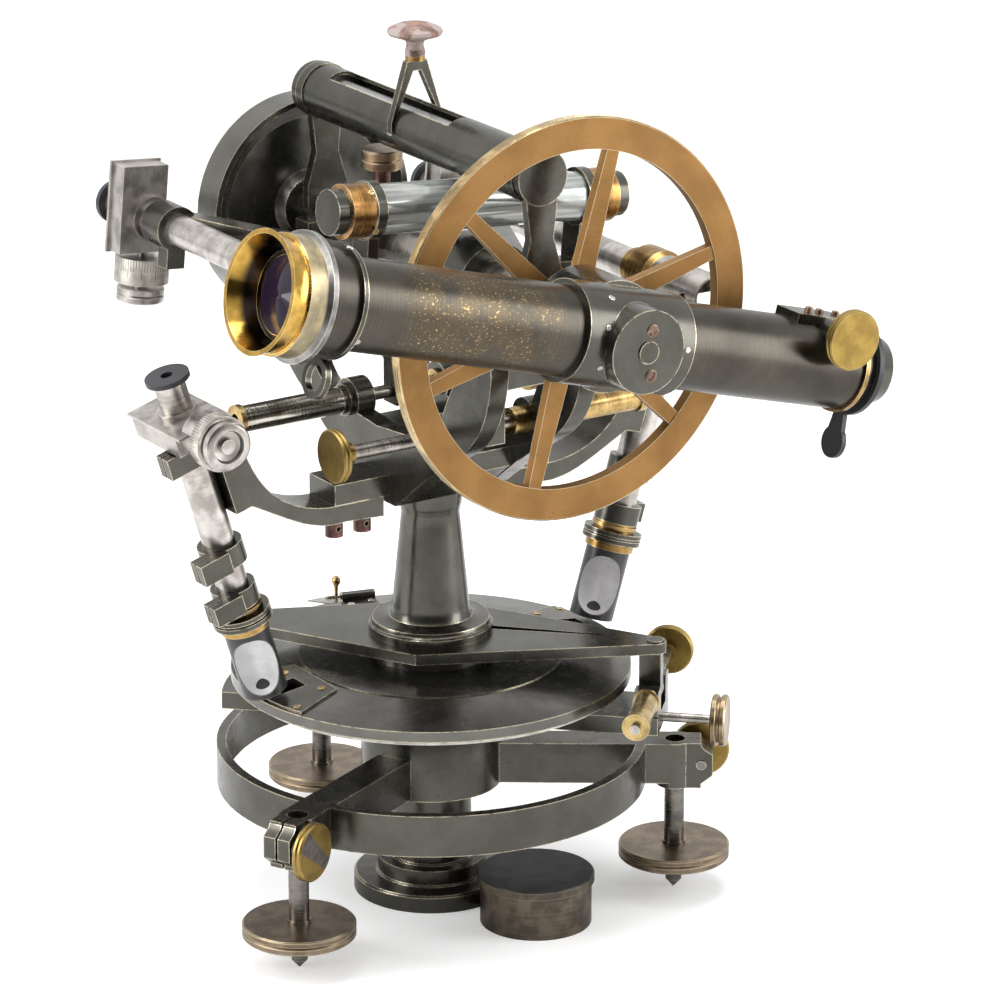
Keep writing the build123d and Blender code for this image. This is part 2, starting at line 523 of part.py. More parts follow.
# Tangent lines through the yoke: barrels, plungers and screws
line_a = aimed((0, LINE_A_Y, LINE_A_Z), (1, 0, 0), (0, 0, 1))
line_b = aimed((0, LINE_B_Y, LINE_B_Z), (1, 0, 0), (0, 0, 1))
outer_x = YOKE_INNER_X + YOKE_T
barrel_a = tube(BARREL_R, LINE_ROD_R + SHAFT_GAP, -93.3, -YOKE_INNER_X + 2)
barrel_a += tube(7.0, BARREL_R - 1, -36.5, -34) + tube(7.7, LINE_ROD_R + SHAFT_GAP, -95, -92)
barrel_a += tube(8.2, BARREL_R - 1, -33.8, -outer_x)
nut_a = tube(BARREL_R, LINE_SCREW_R + SHAFT_GAP, YOKE_INNER_X - 2, outer_x + 8)
barrel_b = (tube(6.5, LINE_ROD_R + SHAFT_GAP, outer_x, 86)
    + tube(BARREL_R, LINE_ROD_R + SHAFT_GAP, 12.4, outer_x))
barrel_b += tube(7.6, LINE_ROD_R + SHAFT_GAP, 86, 90.1)
nut_b = tube(BARREL_R, LINE_SCREW_R + SHAFT_GAP, -outer_x - 4, -YOKE_INNER_X + 2)
save(pieces(line_a * barrel_a, line_a * nut_a, line_b * barrel_b, line_b * nut_b), "tangent_barrels")

arm_side = HANGING_ARM_HALF_X + SIDE_GAP
plunger_a = rod(LINE_ROD_R, -80, -arm_side)
save(line_a * plunger_a, "elevation_plunger")
screw_a = rod(2.0, arm_side, arm_side + 2) + rod(LINE_SCREW_R, arm_side + 2, 72.6)
screw_a += grooved_disc(LINE_KNOB_R, 72.6, 72.6 + LINE_KNOB_T) + rod(5.2, 68, 72.6)
save(line_a * screw_a, "elevation_tangent_screw")
plunger_b = rod(LINE_ROD_R, arm_side, 80)
save(line_b * plunger_b, "index_plunger")
KNOB_B_FACE = -88.6
screw_b = rod(LINE_SCREW_R, KNOB_B_FACE + LINE_KNOB_T, -arm_side - 2) + rod(2.0, -arm_side - 2, -arm_side)
screw_b += grooved_disc(LINE_KNOB_R, KNOB_B_FACE, KNOB_B_FACE + LINE_KNOB_T)
screw_b += rod(5.2, KNOB_B_FACE + LINE_KNOB_T, KNOB_B_FACE + 11)
save(line_b * screw_b, "index_tangent_screw")

# Elevation clamp: a split collar on the horizontal axis with a hanging arm and a knob on top
axis_line = aimed((0, 0, AXIS_Z), (0, 1, 0), (0, 0, 1))
collar_mid = (CLAMP_RING_Y0 + CLAMP_RING_Y1) / 2


def hanging_arm(y):
    """The arm from a collar down to its tangent line."""
    arm_face = make_face(Polyline(
        (-11, AXIS_Z - 16), (-HANGING_ARM_HALF_X - 1.5, 285), (-HANGING_ARM_HALF_X, 272),
        (-HANGING_ARM_HALF_X, 249),
        (HANGING_ARM_HALF_X, 249), (HANGING_ARM_HALF_X, 272), (HANGING_ARM_HALF_X + 1.5, 285),
        (11, AXIS_Z - 16),
        close=True))
    return Pos(0, y, 0) * Rot(90, 0, 0) * extrude(arm_face, HANGING_ARM_HALF_Y, both=True)


axis_bore = axis_line * rod(AXIS_TUBE_R + SHAFT_GAP, -100, 100)
elevation_arm = axis_line * rod(CLAMP_RING_R, CLAMP_RING_Y0, CLAMP_RING_Y1) + hanging_arm(LINE_A_Y)
elevation_arm += Pos(0, CLAMP_STEM_Y, 0) * rod(6.5, AXIS_Z, AXIS_Z + CLAMP_RING_R + 3)
stem_bore = Pos(0, CLAMP_STEM_Y, 0) * rod(2.5 + SHAFT_GAP, AXIS_Z, AXIS_Z + CLAMP_RING_R + 4)
save(elevation_arm - axis_bore - stem_bore, "elevation_arm")
clamp_knob = (rod(2.5, AXIS_Z + AXIS_TUBE_R + 1, CLAMP_STEM_TOP - 10)
    + rod(4.2, AXIS_Z + CLAMP_RING_R + 3.3, CLAMP_STEM_TOP - 10))
clamp_knob += grooved_disc(10.2, CLAMP_STEM_TOP - 10, CLAMP_STEM_TOP)
save(Pos(0, CLAMP_STEM_Y, 0) * clamp_knob, "elevation_clamp_screw")

# Horizontal axis with the counterweight drum
drum_line = aimed((0, 0, AXIS_Z), (0, 1, 0), (1, 0, 0))
axle = turned(
    (0, -121.0), (PIVOT_R, -121.0), (PIVOT_R, -AXIS_TUBE_HALF), (AXIS_TUBE_R, -AXIS_TUBE_HALF),
    (AXIS_TUBE_R, AXIS_TUBE_HALF),
    (PIVOT_R, AXIS_TUBE_HALF), (PIVOT_R, DRUM_Y0 + 2), (0, DRUM_Y0 + 2))
save(drum_line * axle, "horizontal_axis")
drum = turned(
    (0, DRUM_Y0 + 2), (15, DRUM_Y0 + 2), (18, DRUM_Y0 + 7), (46, DRUM_Y0 + 5.5), (DRUM_R - 3, DRUM_Y0),
    (DRUM_R, DRUM_Y0),
    (DRUM_R, DRUM_Y1), (0, DRUM_Y1))
save(drum_line * drum, "counterweight_drum")

# Graduated wheel with tapered spokes
wheel_back = WHEEL_FRONT_Y + WHEEL_T
wheel = turned(
    (WHEEL_INNER_R, WHEEL_FRONT_Y), (WHEEL_R - 0.6, WHEEL_FRONT_Y), (WHEEL_R, WHEEL_FRONT_Y + 0.6),
    (WHEEL_R, WHEEL_FRONT_Y + 1.8),
    (WHEEL_R - 0.6, WHEEL_FRONT_Y + 2.1), (WHEEL_R, WHEEL_FRONT_Y + 2.4), (WHEEL_R, WHEEL_FRONT_Y + 3.6),
    (WHEEL_R - 0.6, WHEEL_FRONT_Y + 3.9), (WHEEL_R, WHEEL_FRONT_Y + 4.2), (WHEEL_R, wheel_back - 0.6),
    (WHEEL_R - 0.6, wheel_back),
    (WHEEL_INNER_R, wheel_back))
wheel += rod(WHEEL_HUB_R, WHEEL_FRONT_Y, wheel_back)
spoke = extrude(make_face(Polyline(
    (WHEEL_HUB_R - 4, -SPOKE_ROOT_W / 2), (WHEEL_INNER_R + 1, -SPOKE_TIP_W / 2),
    (WHEEL_INNER_R + 1, SPOKE_TIP_W / 2),
    (WHEEL_HUB_R - 4, SPOKE_ROOT_W / 2), close=True)), WHEEL_T - 1)
for i in range(SPOKE_COUNT):
    wheel += Rot(0, 0, 60 * i) * Pos(0, 0, WHEEL_FRONT_Y + 0.5) * spoke
wheel_turn = drum_line * Rot(0, 0, TELESCOPE_TILT - 90)
save(wheel_turn * wheel, "graduated_wheel")

# Telescope: local Z runs from the cross axis toward the objective
tilt = radians(TELESCOPE_TILT)
optic = aimed((0, TELESCOPE_Y, AXIS_Z), (-cos(tilt), 0, sin(tilt)), (0, -1, 0))
body = tube(TUBE_R, TUBE_R - 1.6, SLEEVE_HALF - 3, TUBE_FRONT) + rod(TUBE_R, -SLEEVE_HALF, SLEEVE_HALF - 3)
body += tube(EYE_TUBE_R, EYE_TUBE_R - 1.6, -EYE_TUBE_END, -SLEEVE_HALF)
body -= optic.inverse() * drum_line * rod(9, -200, -100)
save(optic * body, "telescope_tube")
toward_wheel = aimed((0, 0, 0), (-1, 0, 0), (0, 0, 1))
sleeve = tube(SLEEVE_R, TUBE_R, -SLEEVE_HALF, SLEEVE_HALF)
sleeve += toward_wheel * (rod(BOSS_PLATE_R, 0, WHEEL_FRONT_Y - TELESCOPE_Y) - rod(SLEEVE_R - 1, -1, 15))
sleeve -= rod(TUBE_R, -SLEEVE_HALF - 1, SLEEVE_HALF + 1)
cover_disc = aimed((0, 0, 0), (1, 0, 0), (0, 0, 1)) * rod(20, 10, 29.7)
cover_disc += aimed((0, 0, 0), (1, 0, 0), (0, 0, 1)) * rod(5.4, 29.7, 30.5)
sleeve += cover_disc - rod(TUBE_R, -SLEEVE_HALF, SLEEVE_HALF)
save(optic * sleeve, "telescope_sleeve")

front_rings = tube(26.2, TUBE_R, 155, 157.5) + tube(24, TUBE_R, 157.5, 172.5)
front_rings += turned((TUBE_R, 172.5), (28, 172.5), (30.2, 174), (30.2, 176.5), (28, 178), (TUBE_R, 178))
loop = Pos(0, -35.5, 156.2) * (rod(9.5, -1.6, 1.6) - rod(6.6, -3, 3))
front_rings += loop
cell = turned((TUBE_R, 178), (27.9, 178), (27.9, 187), (26.6, 187.6), (26.6, 190), (28.6, 196.5),
    (26.2, 196.5), (20.5, 184), (LENS_R, 184), (LENS_R, 180), (TUBE_R, 180))
save(optic * cell, "objective_cell")
save(optic * turned((0, 180.5), (LENS_R - 0.05, 181.5), (LENS_R - 0.05, 183.5), (0, 186.5)),
    "objective_lens")

eye_block = block(-9, 9, EYE_TUBE_R - 2, EYE_TUBE_R + 3.2, -129, -98)
eye_block -= rod(EYE_TUBE_R, -140, -90)
pinion_line = aimed((0, 18.1, -116.2), (1, 0, 0), (0, 0, 1))
eye_block += pinion_line * rod(5.6, 7, 24)
eye_block -= rod(EYE_TUBE_R, -140, -90)
eye_block -= pinion_line * rod(2.5 + SHAFT_GAP, 5, 40)
save(pieces(optic * front_rings, optic * eye_block), "telescope_fittings")
focus_knob = rod(2.5, 14, 27) + rod(5.5, 24.3, 27) + grooved_disc(14.5, 27, 32)
save(optic * pinion_line * focus_knob, "focus_knob")
draw = tube(EYE_TUBE_R - 1.6 - SHAFT_GAP, 12, -147, -112) + turned(
    (8, -157), (16, -157), (19, -147), (20, -143.5), (20, -139), (22.4, -137.5), (22.4, -135.3),
    (12, -135.3), (12, -150), (8, -152))
save(optic * draw, "eyepiece_draw")
lever_face = make_face(Polyline((-3.5, -20.5), (-5.5, -33), (5.5, -33), (3.5, -20.5), close=True))
lever = extrude(lever_face, 2.6) + Pos(0, -37, 0) * rod(8, 0, 2.6)
lever = Pos(0, 0, -145.6) * (lever + tube(23, 20 + SHAFT_GAP, 0, 2.6))
save(optic * lever, "eyepiece_lever")

# Index frame: collar, tangent arm, slanted side arms with split rings, posts for the level
frame_tilt = Pos(0, 0, AXIS_Z) * Rot(0, INDEX_TILT, 0)
along_y = aimed((0, 0, 0), (0, 1, 0), (0, 0, 1))
index_frame = axis_line * rod(INDEX_RING_R, INDEX_RING_Y0, INDEX_RING_Y1) + hanging_arm(LINE_B_Y)
RING_Y0 = 84.0
RING_Y1 = 101.0
for side in (-1, 1):
    ring = Pos(side * MICRO_X, 0, 0) * along_y * rod(11.3, RING_Y0, RING_Y1)
    ear = block(side * MICRO_X - 5, side * MICRO_X + 5, RING_Y0, RING_Y0 + 9, -20, -6)
    arm = extrude(make_face(Polyline(
        (side * 8, INDEX_RING_Y0 + 14), (side * 24, INDEX_RING_Y0 + 3), (side * (MICRO_X - 2), RING_Y0),
        (side * (MICRO_X - 9), RING_Y0 + 8), close=True)), 7, both=True)
    post = block(side * 60.4 - 3, side * 60.4 + 3, LEVEL_Y - 7, LEVEL_Y + 7, -4, LEVEL_RISE - 9)
    foot = block(min(side * 12, side * 63.4), max(side * 12, side * 63.4), LEVEL_Y - 7, LEVEL_Y + 5, -5, 5)
    index_frame += frame_tilt * (ring + ear + arm + post + foot)
for side in (-1, 1):
    index_frame -= frame_tilt * Pos(side * MICRO_X, 0, 0) * along_y * rod(MICRO_TUBE_R, -130, 150)
index_frame -= axis_bore
level_line = frame_tilt * aimed((0, LEVEL_Y, LEVEL_RISE), (1, 0, 0), (0, 0, 1))
index_frame -= level_line * rod(14.1, -64, 64)
save(index_frame, "index_frame")

# Long microscopes of the index frame: local Z runs along Y
v_left = frame_tilt * Pos(-MICRO_X, 0, 0) * along_y
v_right = frame_tilt * Pos(MICRO_X, 0, 0) * along_y
v_body = (rod(MICRO_TUBE_R, -43, 111) + block(-18, 26, -16.5, 8.5, 111, 121.5)
    + block(-19, 27, -18, 10, 121.5, 123))
v_body += tube(7.7, 6.4, 123, 144) + tube(11, 7.7, 107.5, 111)
v_drum_axis = aimed((0, 0, 116.5), (-1, 0, 0), (0, 1, 0))
v_body -= v_drum_axis * rod(2.5 + SHAFT_GAP, 8, 31)
v_cap = tube(11, 3, 144, 147) + tube(6.3, 5.2, 130, 144)
save(pieces(v_left * v_body, v_right * v_body, v_left * v_cap, v_right * v_cap), "v_microscopes")
v_drum = rod(2.5, 10, 22) + rod(13.65, 20.6, 33.6) + rod(4, 33.6, 36)
v_drum += grooved_disc(11.9, 36, 43.6)
save(v_left * v_drum_axis * v_drum, "v_drum_left")
save(v_right * v_drum_axis * v_drum, "v_drum_right")
flare = turned((MICRO_TUBE_R, -43), (9.6, -43), (9.6, -48), (13.2, -52), (13.2, -66), (11, -69),
    (MICRO_TUBE_R, -69))
v_reflector = tube(11, 9.8, -109, -75) + tube(11.6, 7, -75, -69) + rod(MICRO_TUBE_R, -69, -43)
v_reflector -= Pos(-9, 4, -92) * Rot(0, -20, 0) * Box(14, 30, 22)
save(pieces(v_left * flare, v_left * v_reflector, v_right * flare, v_right * v_reflector), "v_reflectors")

# Index level
case = []
for side in (-1, 1):
    end = turned((0, 57.4), (LEVEL_GLASS_R, 57.4), (14.1, 57.8), (14.1, 63.1), (13.2, 63.5), (13.2, 76),
        (11.1, 76.5), (11.1, 82.9), (0, 82.9))
    case.append(level_line * (end if side == 1 else Rot(180, 0, 0) * end))
save(pieces(*case), "index_level_case")
save(level_line * (rod(LEVEL_GLASS_R, -57.4, 57.4) - rod(LEVEL_GLASS_R - 1.4, -56, 56)), "index_level_glass")

# Striding level: tube along Y with window, end caps and two forked legs
stride_line = aimed((0, 0, STRIDE_Z), (0, 1, 0), (1, 0, 0))
stride = rod(STRIDE_R, STRIDE_Y0, STRIDE_Y1) - rod(STRIDE_R - 1.5, STRIDE_Y0 + 3, STRIDE_Y1 - 3)
stride -= block(-8, 8, -20, 0, -30, 79)
stride += (tube(STRIDE_RING_R, STRIDE_R, STRIDE_Y1 - 11, STRIDE_Y1 - 5)
    + tube(STRIDE_RING_R, STRIDE_R, STRIDE_Y0 + 5, STRIDE_Y0 + 11))
stride = stride_line * stride
vee_top = AXIS_Z + (PIVOT_R + SIDE_GAP) * 2 ** 0.5
leg_face = make_face(Polyline(
    (-9, STRIDE_Z - 8), (-6.5, 362), (-11.5, 345), (-11.5, vee_top - 9.8), (-9.8, vee_top - 9.8),
    (0, vee_top),
    (9.8, vee_top - 9.8), (11.5, vee_top - 9.8), (11.5, 345), (6.5, 362), (9, STRIDE_Z - 8), close=True))
for side in (-1, 1):
    stride += Pos(0, side * STRIDE_LEG_Y, 0) * Rot(90, 0, 0) * extrude(leg_face, STRIDE_LEG_T / 2, both=True)
stride -= stride_line * rod(STRIDE_R - 1.5, STRIDE_Y0 + 3, STRIDE_Y1 - 3)
strap = extrude(make_face(Polyline((-14.9, STRIDE_Z - 2), (-14.9, STRIDE_Z + 4), (-5.6, 426),
    (5.6, 426), (14.9, STRIDE_Z + 4), (14.9, STRIDE_Z - 2), (11, STRIDE_Z + 9), (2.2, 421), (-2.2, 421),
    (-11, STRIDE_Z + 9), close=True)), 2, both=True)
strap = Pos(0, 12, 0) * Rot(90, 0, 0) * strap
strap -= stride_line * rod(STRIDE_R, 0, 30)
for start in (-36, 78):
    strap += stride_line * tube(STRIDE_R - 1.5, 9, start, start + 6)
save(stride + strap, "striding_level")
save(stride_line * (rod(9, -40, 88) - rod(7.6, -38, 86)), "striding_glass")
handle = turned(
    (0, 426), (4.8, 426), (4.8, 428.3), (5, 430), (4.1, 433.4), (4.6, 435.6), (8, 437.2), (12.9, 438.8),
    (13.6, 440),
    (12.9, 441.4), (9, 443.2), (0, 443.8))
save(Pos(0, 12, 0) * handle, "striding_handle")

# Loose cap with a lid, beside the pedestal
cap_distance = PEDESTAL_R + CAP_LID_R + 1
cap = turned((0, 0), (CAP_R, 0), (CAP_R, CAP_H - 4.2), (CAP_LID_R, CAP_H - 4.2),
    (CAP_LID_R, CAP_H - 0.6), (CAP_LID_R - 0.6, CAP_H), (0, CAP_H))
save(azimuth(CAP_AZIMUTH) * Pos(cap_distance, 0, 0) * cap, "loose_cap")
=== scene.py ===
"""The theodolite's finishes, reflector shells and small screws, with its floor, light and camera."""

import bpy
import numpy as np
from mathutils import Matrix


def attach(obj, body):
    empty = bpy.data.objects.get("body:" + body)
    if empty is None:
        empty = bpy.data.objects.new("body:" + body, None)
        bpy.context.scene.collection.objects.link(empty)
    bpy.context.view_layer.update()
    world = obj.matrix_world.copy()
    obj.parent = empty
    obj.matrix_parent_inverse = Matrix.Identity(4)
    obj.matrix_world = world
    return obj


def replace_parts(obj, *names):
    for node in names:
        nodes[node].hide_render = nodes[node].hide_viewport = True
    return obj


MM = 0.001
FULL_TURN = 2 * np.pi
FAR = 1000.0
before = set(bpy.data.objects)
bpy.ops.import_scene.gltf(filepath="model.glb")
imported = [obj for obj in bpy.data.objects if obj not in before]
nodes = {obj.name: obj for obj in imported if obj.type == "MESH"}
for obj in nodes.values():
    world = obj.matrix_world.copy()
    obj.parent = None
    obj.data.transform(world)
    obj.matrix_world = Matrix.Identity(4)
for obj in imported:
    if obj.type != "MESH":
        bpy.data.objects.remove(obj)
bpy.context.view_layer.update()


def unit(v):
    v = np.asarray(v, float)
    return v / np.linalg.norm(v)


def basis(axis):
    """Two directions square to an axis, and the axis: a right-handed set."""
    axis = unit(axis)
    side = unit(np.cross(axis, (0, 0, 1) if abs(axis[2]) < 0.9 else (1, 0, 0)))
    return side, np.cross(axis, side), axis


def round_the_axis(degrees):
    """The direction away from the vertical axis at an angle, and the one square to it."""
    angle = np.radians(degrees)
    return np.array((np.cos(angle), np.sin(angle), 0)), np.array((-np.sin(angle), np.cos(angle), 0))


# Lines that the turned pieces are made on, in millimetres: a point on the line and its direction
AXIS_Z = 329.5
UPRIGHT = ((0, 0, 0), (0, 0, 1))
CROSS = ((0, 0, AXIS_Z), (0, 1, 0))

TELESCOPE_TILT = np.radians(15.4)
SIGHT = ((0, -158.3, AXIS_Z), (-np.cos(TELESCOPE_TILT), 0, np.sin(TELESCOPE_TILT)))
FOCUS = ((116.84, 0, 316.09), (0, -1, 0))

EYE_X, EYE_Z = 147.9, 294.8
EYE_SLANT = np.radians(16.9)
EYE_LEFT = ((-EYE_X, 0, EYE_Z), (np.sin(EYE_SLANT), 0, -np.cos(EYE_SLANT)))
EYE_RIGHT = ((EYE_X, 0, EYE_Z), (-np.sin(EYE_SLANT), 0, -np.cos(EYE_SLANT)))
EYE_DRUM_PLACE = 26.5

FRAME_TILT = np.radians(5.27)
FRAME_X = np.array((np.cos(FRAME_TILT), 0, -np.sin(FRAME_TILT)))
FRAME_Z = np.array((np.sin(FRAME_TILT), 0, np.cos(FRAME_TILT)))
LONG_X = 92.9
LONG_LEFT = (np.array((0, 0, AXIS_Z)) - LONG_X * FRAME_X, (0, 1, 0))
LONG_RIGHT = (np.array((0, 0, AXIS_Z)) + LONG_X * FRAME_X, (0, 1, 0))
LONG_DRUM_Y = 116.5
LEVEL_Y, LEVEL_RISE = -36.0, 35.7
VIAL = (np.array((0, LEVEL_Y, AXIS_Z)) + LEVEL_RISE * FRAME_Z, FRAME_X)

ELEVATION_LINE = ((0, 27, 255.5), (1, 0, 0))
INDEX_LINE = ((0, -52, 257.5), (1, 0, 0))
CLAMP_STEM = ((0, 43, 0), (0, 0, 1))
HANDLE = ((0, 12, 0), (0, 0, 1))
CAP = ((18.7, -67.0, 0), (0, 0, 1))
FLAP_HINGE = ((5.04, 94.45, 124.6), (-0.9707, 0.2402, 0))

CLAMP_OUT, CLAMP_ALONG = round_the_axis(-43)
TANGENT = (111.5 * CLAMP_OUT + (0, 0, 112), CLAMP_ALONG)
CLAMP_SCREW = ((0, 0, 98), CLAMP_OUT)
FOOT_ANGLES = (-154.3, -34.3, 85.7)
FOOT_CIRCLE_R = 122.2
FOOT_KNOB_R, FOOT_KNOB_Z = 135.4, 68.3


# Shader maths
class Number:
    """A number that varies over a surface: an expression on it adds its nodes."""

    def __init__(self, finish, socket):
        self.finish, self.socket = finish, socket

    def __add__(self, other):
        return self.finish.maths("ADD", self, other)

    def __sub__(self, other):
        return self.finish.maths("SUBTRACT", self, other)

    def __rsub__(self, other):
        return self.finish.maths("SUBTRACT", other, self)

    def __mul__(self, other):
        return self.finish.maths("MULTIPLY", self, other)

    def __truediv__(self, other):
        return self.finish.maths("DIVIDE", self, other)

    def __gt__(self, other):
        return self.finish.maths("GREATER_THAN", self, other)

    def __lt__(self, other):
        return self.finish.maths("LESS_THAN", self, other)

    __radd__ = __add__
    __rmul__ = __mul__


def numbered(values):
    """Values for sockets that go by their number."""
    return {f"i{k}": value for k, value in enumerate(values)}


class Finish:
    """One material. Its colours and numbers are worked out from the place on the object."""

    def __init__(self, name, **constants):
        self.material = bpy.data.materials.new(name)
        self.material.use_nodes = True
        self.tree = self.material.node_tree
        self.shader = self.tree.nodes["Principled BSDF"]
        self.place = self.node("ShaderNodeTexCoord", out="Object")
        self.set(**constants)

    def node(self, kind, settings=None, out=0, **values):
        """Adds a node with its settings, then feeds its sockets; gives one output."""
        made = self.tree.nodes.new(kind)
        for key, value in (settings or {}).items():
            setattr(made, key, value)
        for key, value in values.items():
            by_number = key[0] == "i" and key[1:].isdigit()
            self.feed(made.inputs[int(key[1:]) if by_number else key.replace("_", " ")], value)
        return Number(self, made.outputs[out])

    def feed(self, socket, value):
        if isinstance(value, Number):
            self.tree.links.new(value.socket, socket)
        elif hasattr(socket.default_value, "__len__") and len(socket.default_value) == 4:
            socket.default_value = (*value, 1)
        else:
            socket.default_value = value

    def set(self, **values):
        for key, value in values.items():
            self.feed(self.shader.inputs[key.replace("_", " ")], value)

    def maths(self, operation, *values):
        return self.node("ShaderNodeMath", {"operation": operation}, **numbered(values))

    def vector(self, operation, *values, out=0):
        return self.node("ShaderNodeVectorMath", {"operation": operation}, out=out, **numbered(values))

    def step(self, value, start, end, low=0.0, high=1.0):
        """Rises smoothly from low to high as the value goes from start to end."""
        return self.node("ShaderNodeMapRange", {"interpolation_type": "SMOOTHSTEP"}, Value=value,
                         From_Min=start, From_Max=end, To_Min=low, To_Max=high)

    def blend(self, mask, first, second):
        return self.node("ShaderNodeMix", {"data_type": "RGBA"}, out=2, i0=mask, i6=first, i7=second)

    def noise(self, size, detail=3, rough=0.55, stretch=(1, 1, 1)):
        """Clouds whose patches are about size millimetres across, stretched along an axis."""
        where = self.vector("MULTIPLY", self.place, tuple(s / (size * MM) for s in stretch))
        return self.node("ShaderNodeTexNoise", Vector=where, Scale=1.0, Detail=detail, Roughness=rough)

    def bands(self, place, detail):
        """Noise that changes in one direction only, such as the rings that a lathe leaves."""
        return self.node("ShaderNodeTexNoise", {"noise_dimensions": "1D"}, W=place,
                         Scale=1.0, Detail=detail)

    def distance(self, line):
        """Distance in millimetres from a line, and the place along it."""
        point, axis = np.array(line[0]) * MM, tuple(unit(line[1]))
        away = self.vector("SUBTRACT", self.place, tuple(point))
        across = self.vector("CROSS_PRODUCT", away, axis)
        radius = self.vector("LENGTH", across, out=1) * 1000
        return radius, self.vector("DOT_PRODUCT", away, axis, out=1) * 1000

    def angle(self, line, turns):
        """The angle round a line, counted in so many divisions to the turn."""
        side, up, _ = basis(line[1])
        away = self.vector("SUBTRACT", self.place, tuple(np.array(line[0]) * MM))
        x = self.vector("DOT_PRODUCT", away, tuple(side), out=1)
        y = self.vector("DOT_PRODUCT", away, tuple(up), out=1)
        return self.maths("ARCTAN2", y, x) * (turns / FULL_TURN)

    def edges(self, radius):
        """1 on the outer edges of a piece, 0 on its faces and inner corners."""
        round_normal = self.node("ShaderNodeBevel", {"samples": 4}, Radius=radius * MM)
        normal = self.node("ShaderNodeNewGeometry", out="Normal")
        bend = 1.0 - self.vector("DOT_PRODUCT", round_normal, normal, out=1)
        open_sky = self.node("ShaderNodeAmbientOcclusion", {"samples": 4}, out="AO", Distance=2.0 * MM)
        return self.step(bend, 0.006, 0.05) * self.step(open_sky, 0.55, 0.85)

    def bump(self, height, depth, strength):
        """Feeds a height, in so many millimetres, to the normal."""
        self.set(Normal=self.node("ShaderNodeBump", Height=height, Distance=depth * MM, Strength=strength))


# Finishes that several pieces share
# The lacquers' wear colours and the EDGE colours below paint a highlight on outer edges, partly rubbed
# wear.
LACQUER_LIGHT, LACQUER_DEEP = (0.112, 0.108, 0.092), (0.076, 0.074, 0.063)
LACQUER_WEAR_AND_SHEEN = (0.72, 0.64, 0.46)
# COVER_LIGHT and COVER_DEEP are a lighter copy of the black lacquer: painted light on the circle cover and
# the counterweight drum.
COVER_LIGHT, COVER_DEEP = (0.165, 0.160, 0.142), (0.115, 0.112, 0.10)
LID_LIGHT, LID_DEEP, LID_WEAR_AND_SHEEN = (0.030, 0.030, 0.034), (0.022, 0.022, 0.025), (0.16, 0.14, 0.11)
BRASS_GOLD, BRASS_DULL, BRASS_EDGE = (0.46, 0.29, 0.095), (0.25, 0.15, 0.05), (0.8, 0.72, 0.55)
KNOB_GOLD, KNOB_DULL, KNOB_EDGE = (0.33, 0.225, 0.062), (0.235, 0.155, 0.045), (0.66, 0.52, 0.24)
STEEL, STEEL_DULL, STEEL_EDGE = (0.52, 0.50, 0.46), (0.30, 0.28, 0.25), (0.85, 0.84, 0.8)
NICKEL, NICKEL_DULL, NICKEL_EDGE = (0.60, 0.57, 0.54), (0.36, 0.33, 0.30), (0.88, 0.86, 0.82)
BOX_LIGHT, BOX_DULL, FILED_EDGE = (0.50, 0.47, 0.44), (0.33, 0.31, 0.285), (0.85, 0.83, 0.78)
BROWN_SPOT, BROWN_FRECKLE = (0.16, 0.09, 0.03), (0.16, 0.11, 0.06)
LATHE_PITCH = 0.32
LATHE_RING = FULL_TURN / LATHE_PITCH


def dark_metal(name, light=LACQUER_LIGHT, deep=LACQUER_DEEP, rough=0.25, wear_and_sheen=LACQUER_WEAR_AND_SHEEN):
    """Blackened, lacquered metal: cloudy, finely pitted, with a painted highlight on its edges that is
    partly rubbed wear.
    """
    f = Finish(name, Metallic=0.92, Coat_Roughness=0.12)
    clouds, specks = f.noise(26), f.noise(1.3, 2)
    # Painted edge highlight, partly rubbed wear, broken up by noise; the chips are real wear in the same
    # colour.
    edge = f.edges(0.8) * f.step(f.noise(5, 4), 0.30, 0.50)
    chips = f.step(specks, 0.72, 0.78) * f.step(clouds, 0.55, 0.70)
    body = f.blend(f.step(clouds, 0.25, 0.75), deep, light)
    f.set(Base_Color=f.blend(f.maths("MAXIMUM", edge, chips * 0.45), body, wear_and_sheen))
    f.set(Roughness=f.step(f.noise(9), 0.3, 0.7, rough - 0.04, rough + 0.05))
    f.bump(specks + f.noise(6) * 0.5, 0.006, 0.5)
    return f.material


def turned_metal(name, line, colour, shade, rough=0.28, edge=BRASS_EDGE, spots=0.5,
                 spot_colour=BROWN_SPOT):
    """Metal turned in a lathe: fine rings round its line, brown spots and a painted highlight on its
    edges, partly rubbed wear.
    """
    f = Finish(name, Metallic=1.0)
    radius, along = f.distance(line)
    coil = f.maths("SINE", radius * LATHE_RING) * 0.5 + f.maths("SINE", along * LATHE_RING) * 0.5
    streak = f.bands(radius * 0.9 + along * 0.7, 3.0)
    clouds = f.noise(9)
    spot = f.step(f.noise(1.5, 2), 0.66, 0.74) * f.step(clouds, 0.42, 0.62)
    body = f.blend(f.step(clouds * 0.85 + streak * 0.15, 0.38, 0.62), shade, colour)
    body = f.blend(spot * spots, body, spot_colour)
    # The edge colour is a painted highlight on the outer edges, partly rubbed wear.
    f.set(Base_Color=f.blend(f.edges(0.45) * 0.85, body, edge))
    f.set(Roughness=f.step(streak, 0.3, 0.7, rough - 0.02, rough + 0.05))
    f.bump(coil * 0.35 + f.noise(2.5), 0.005, 0.6)
    return f.material


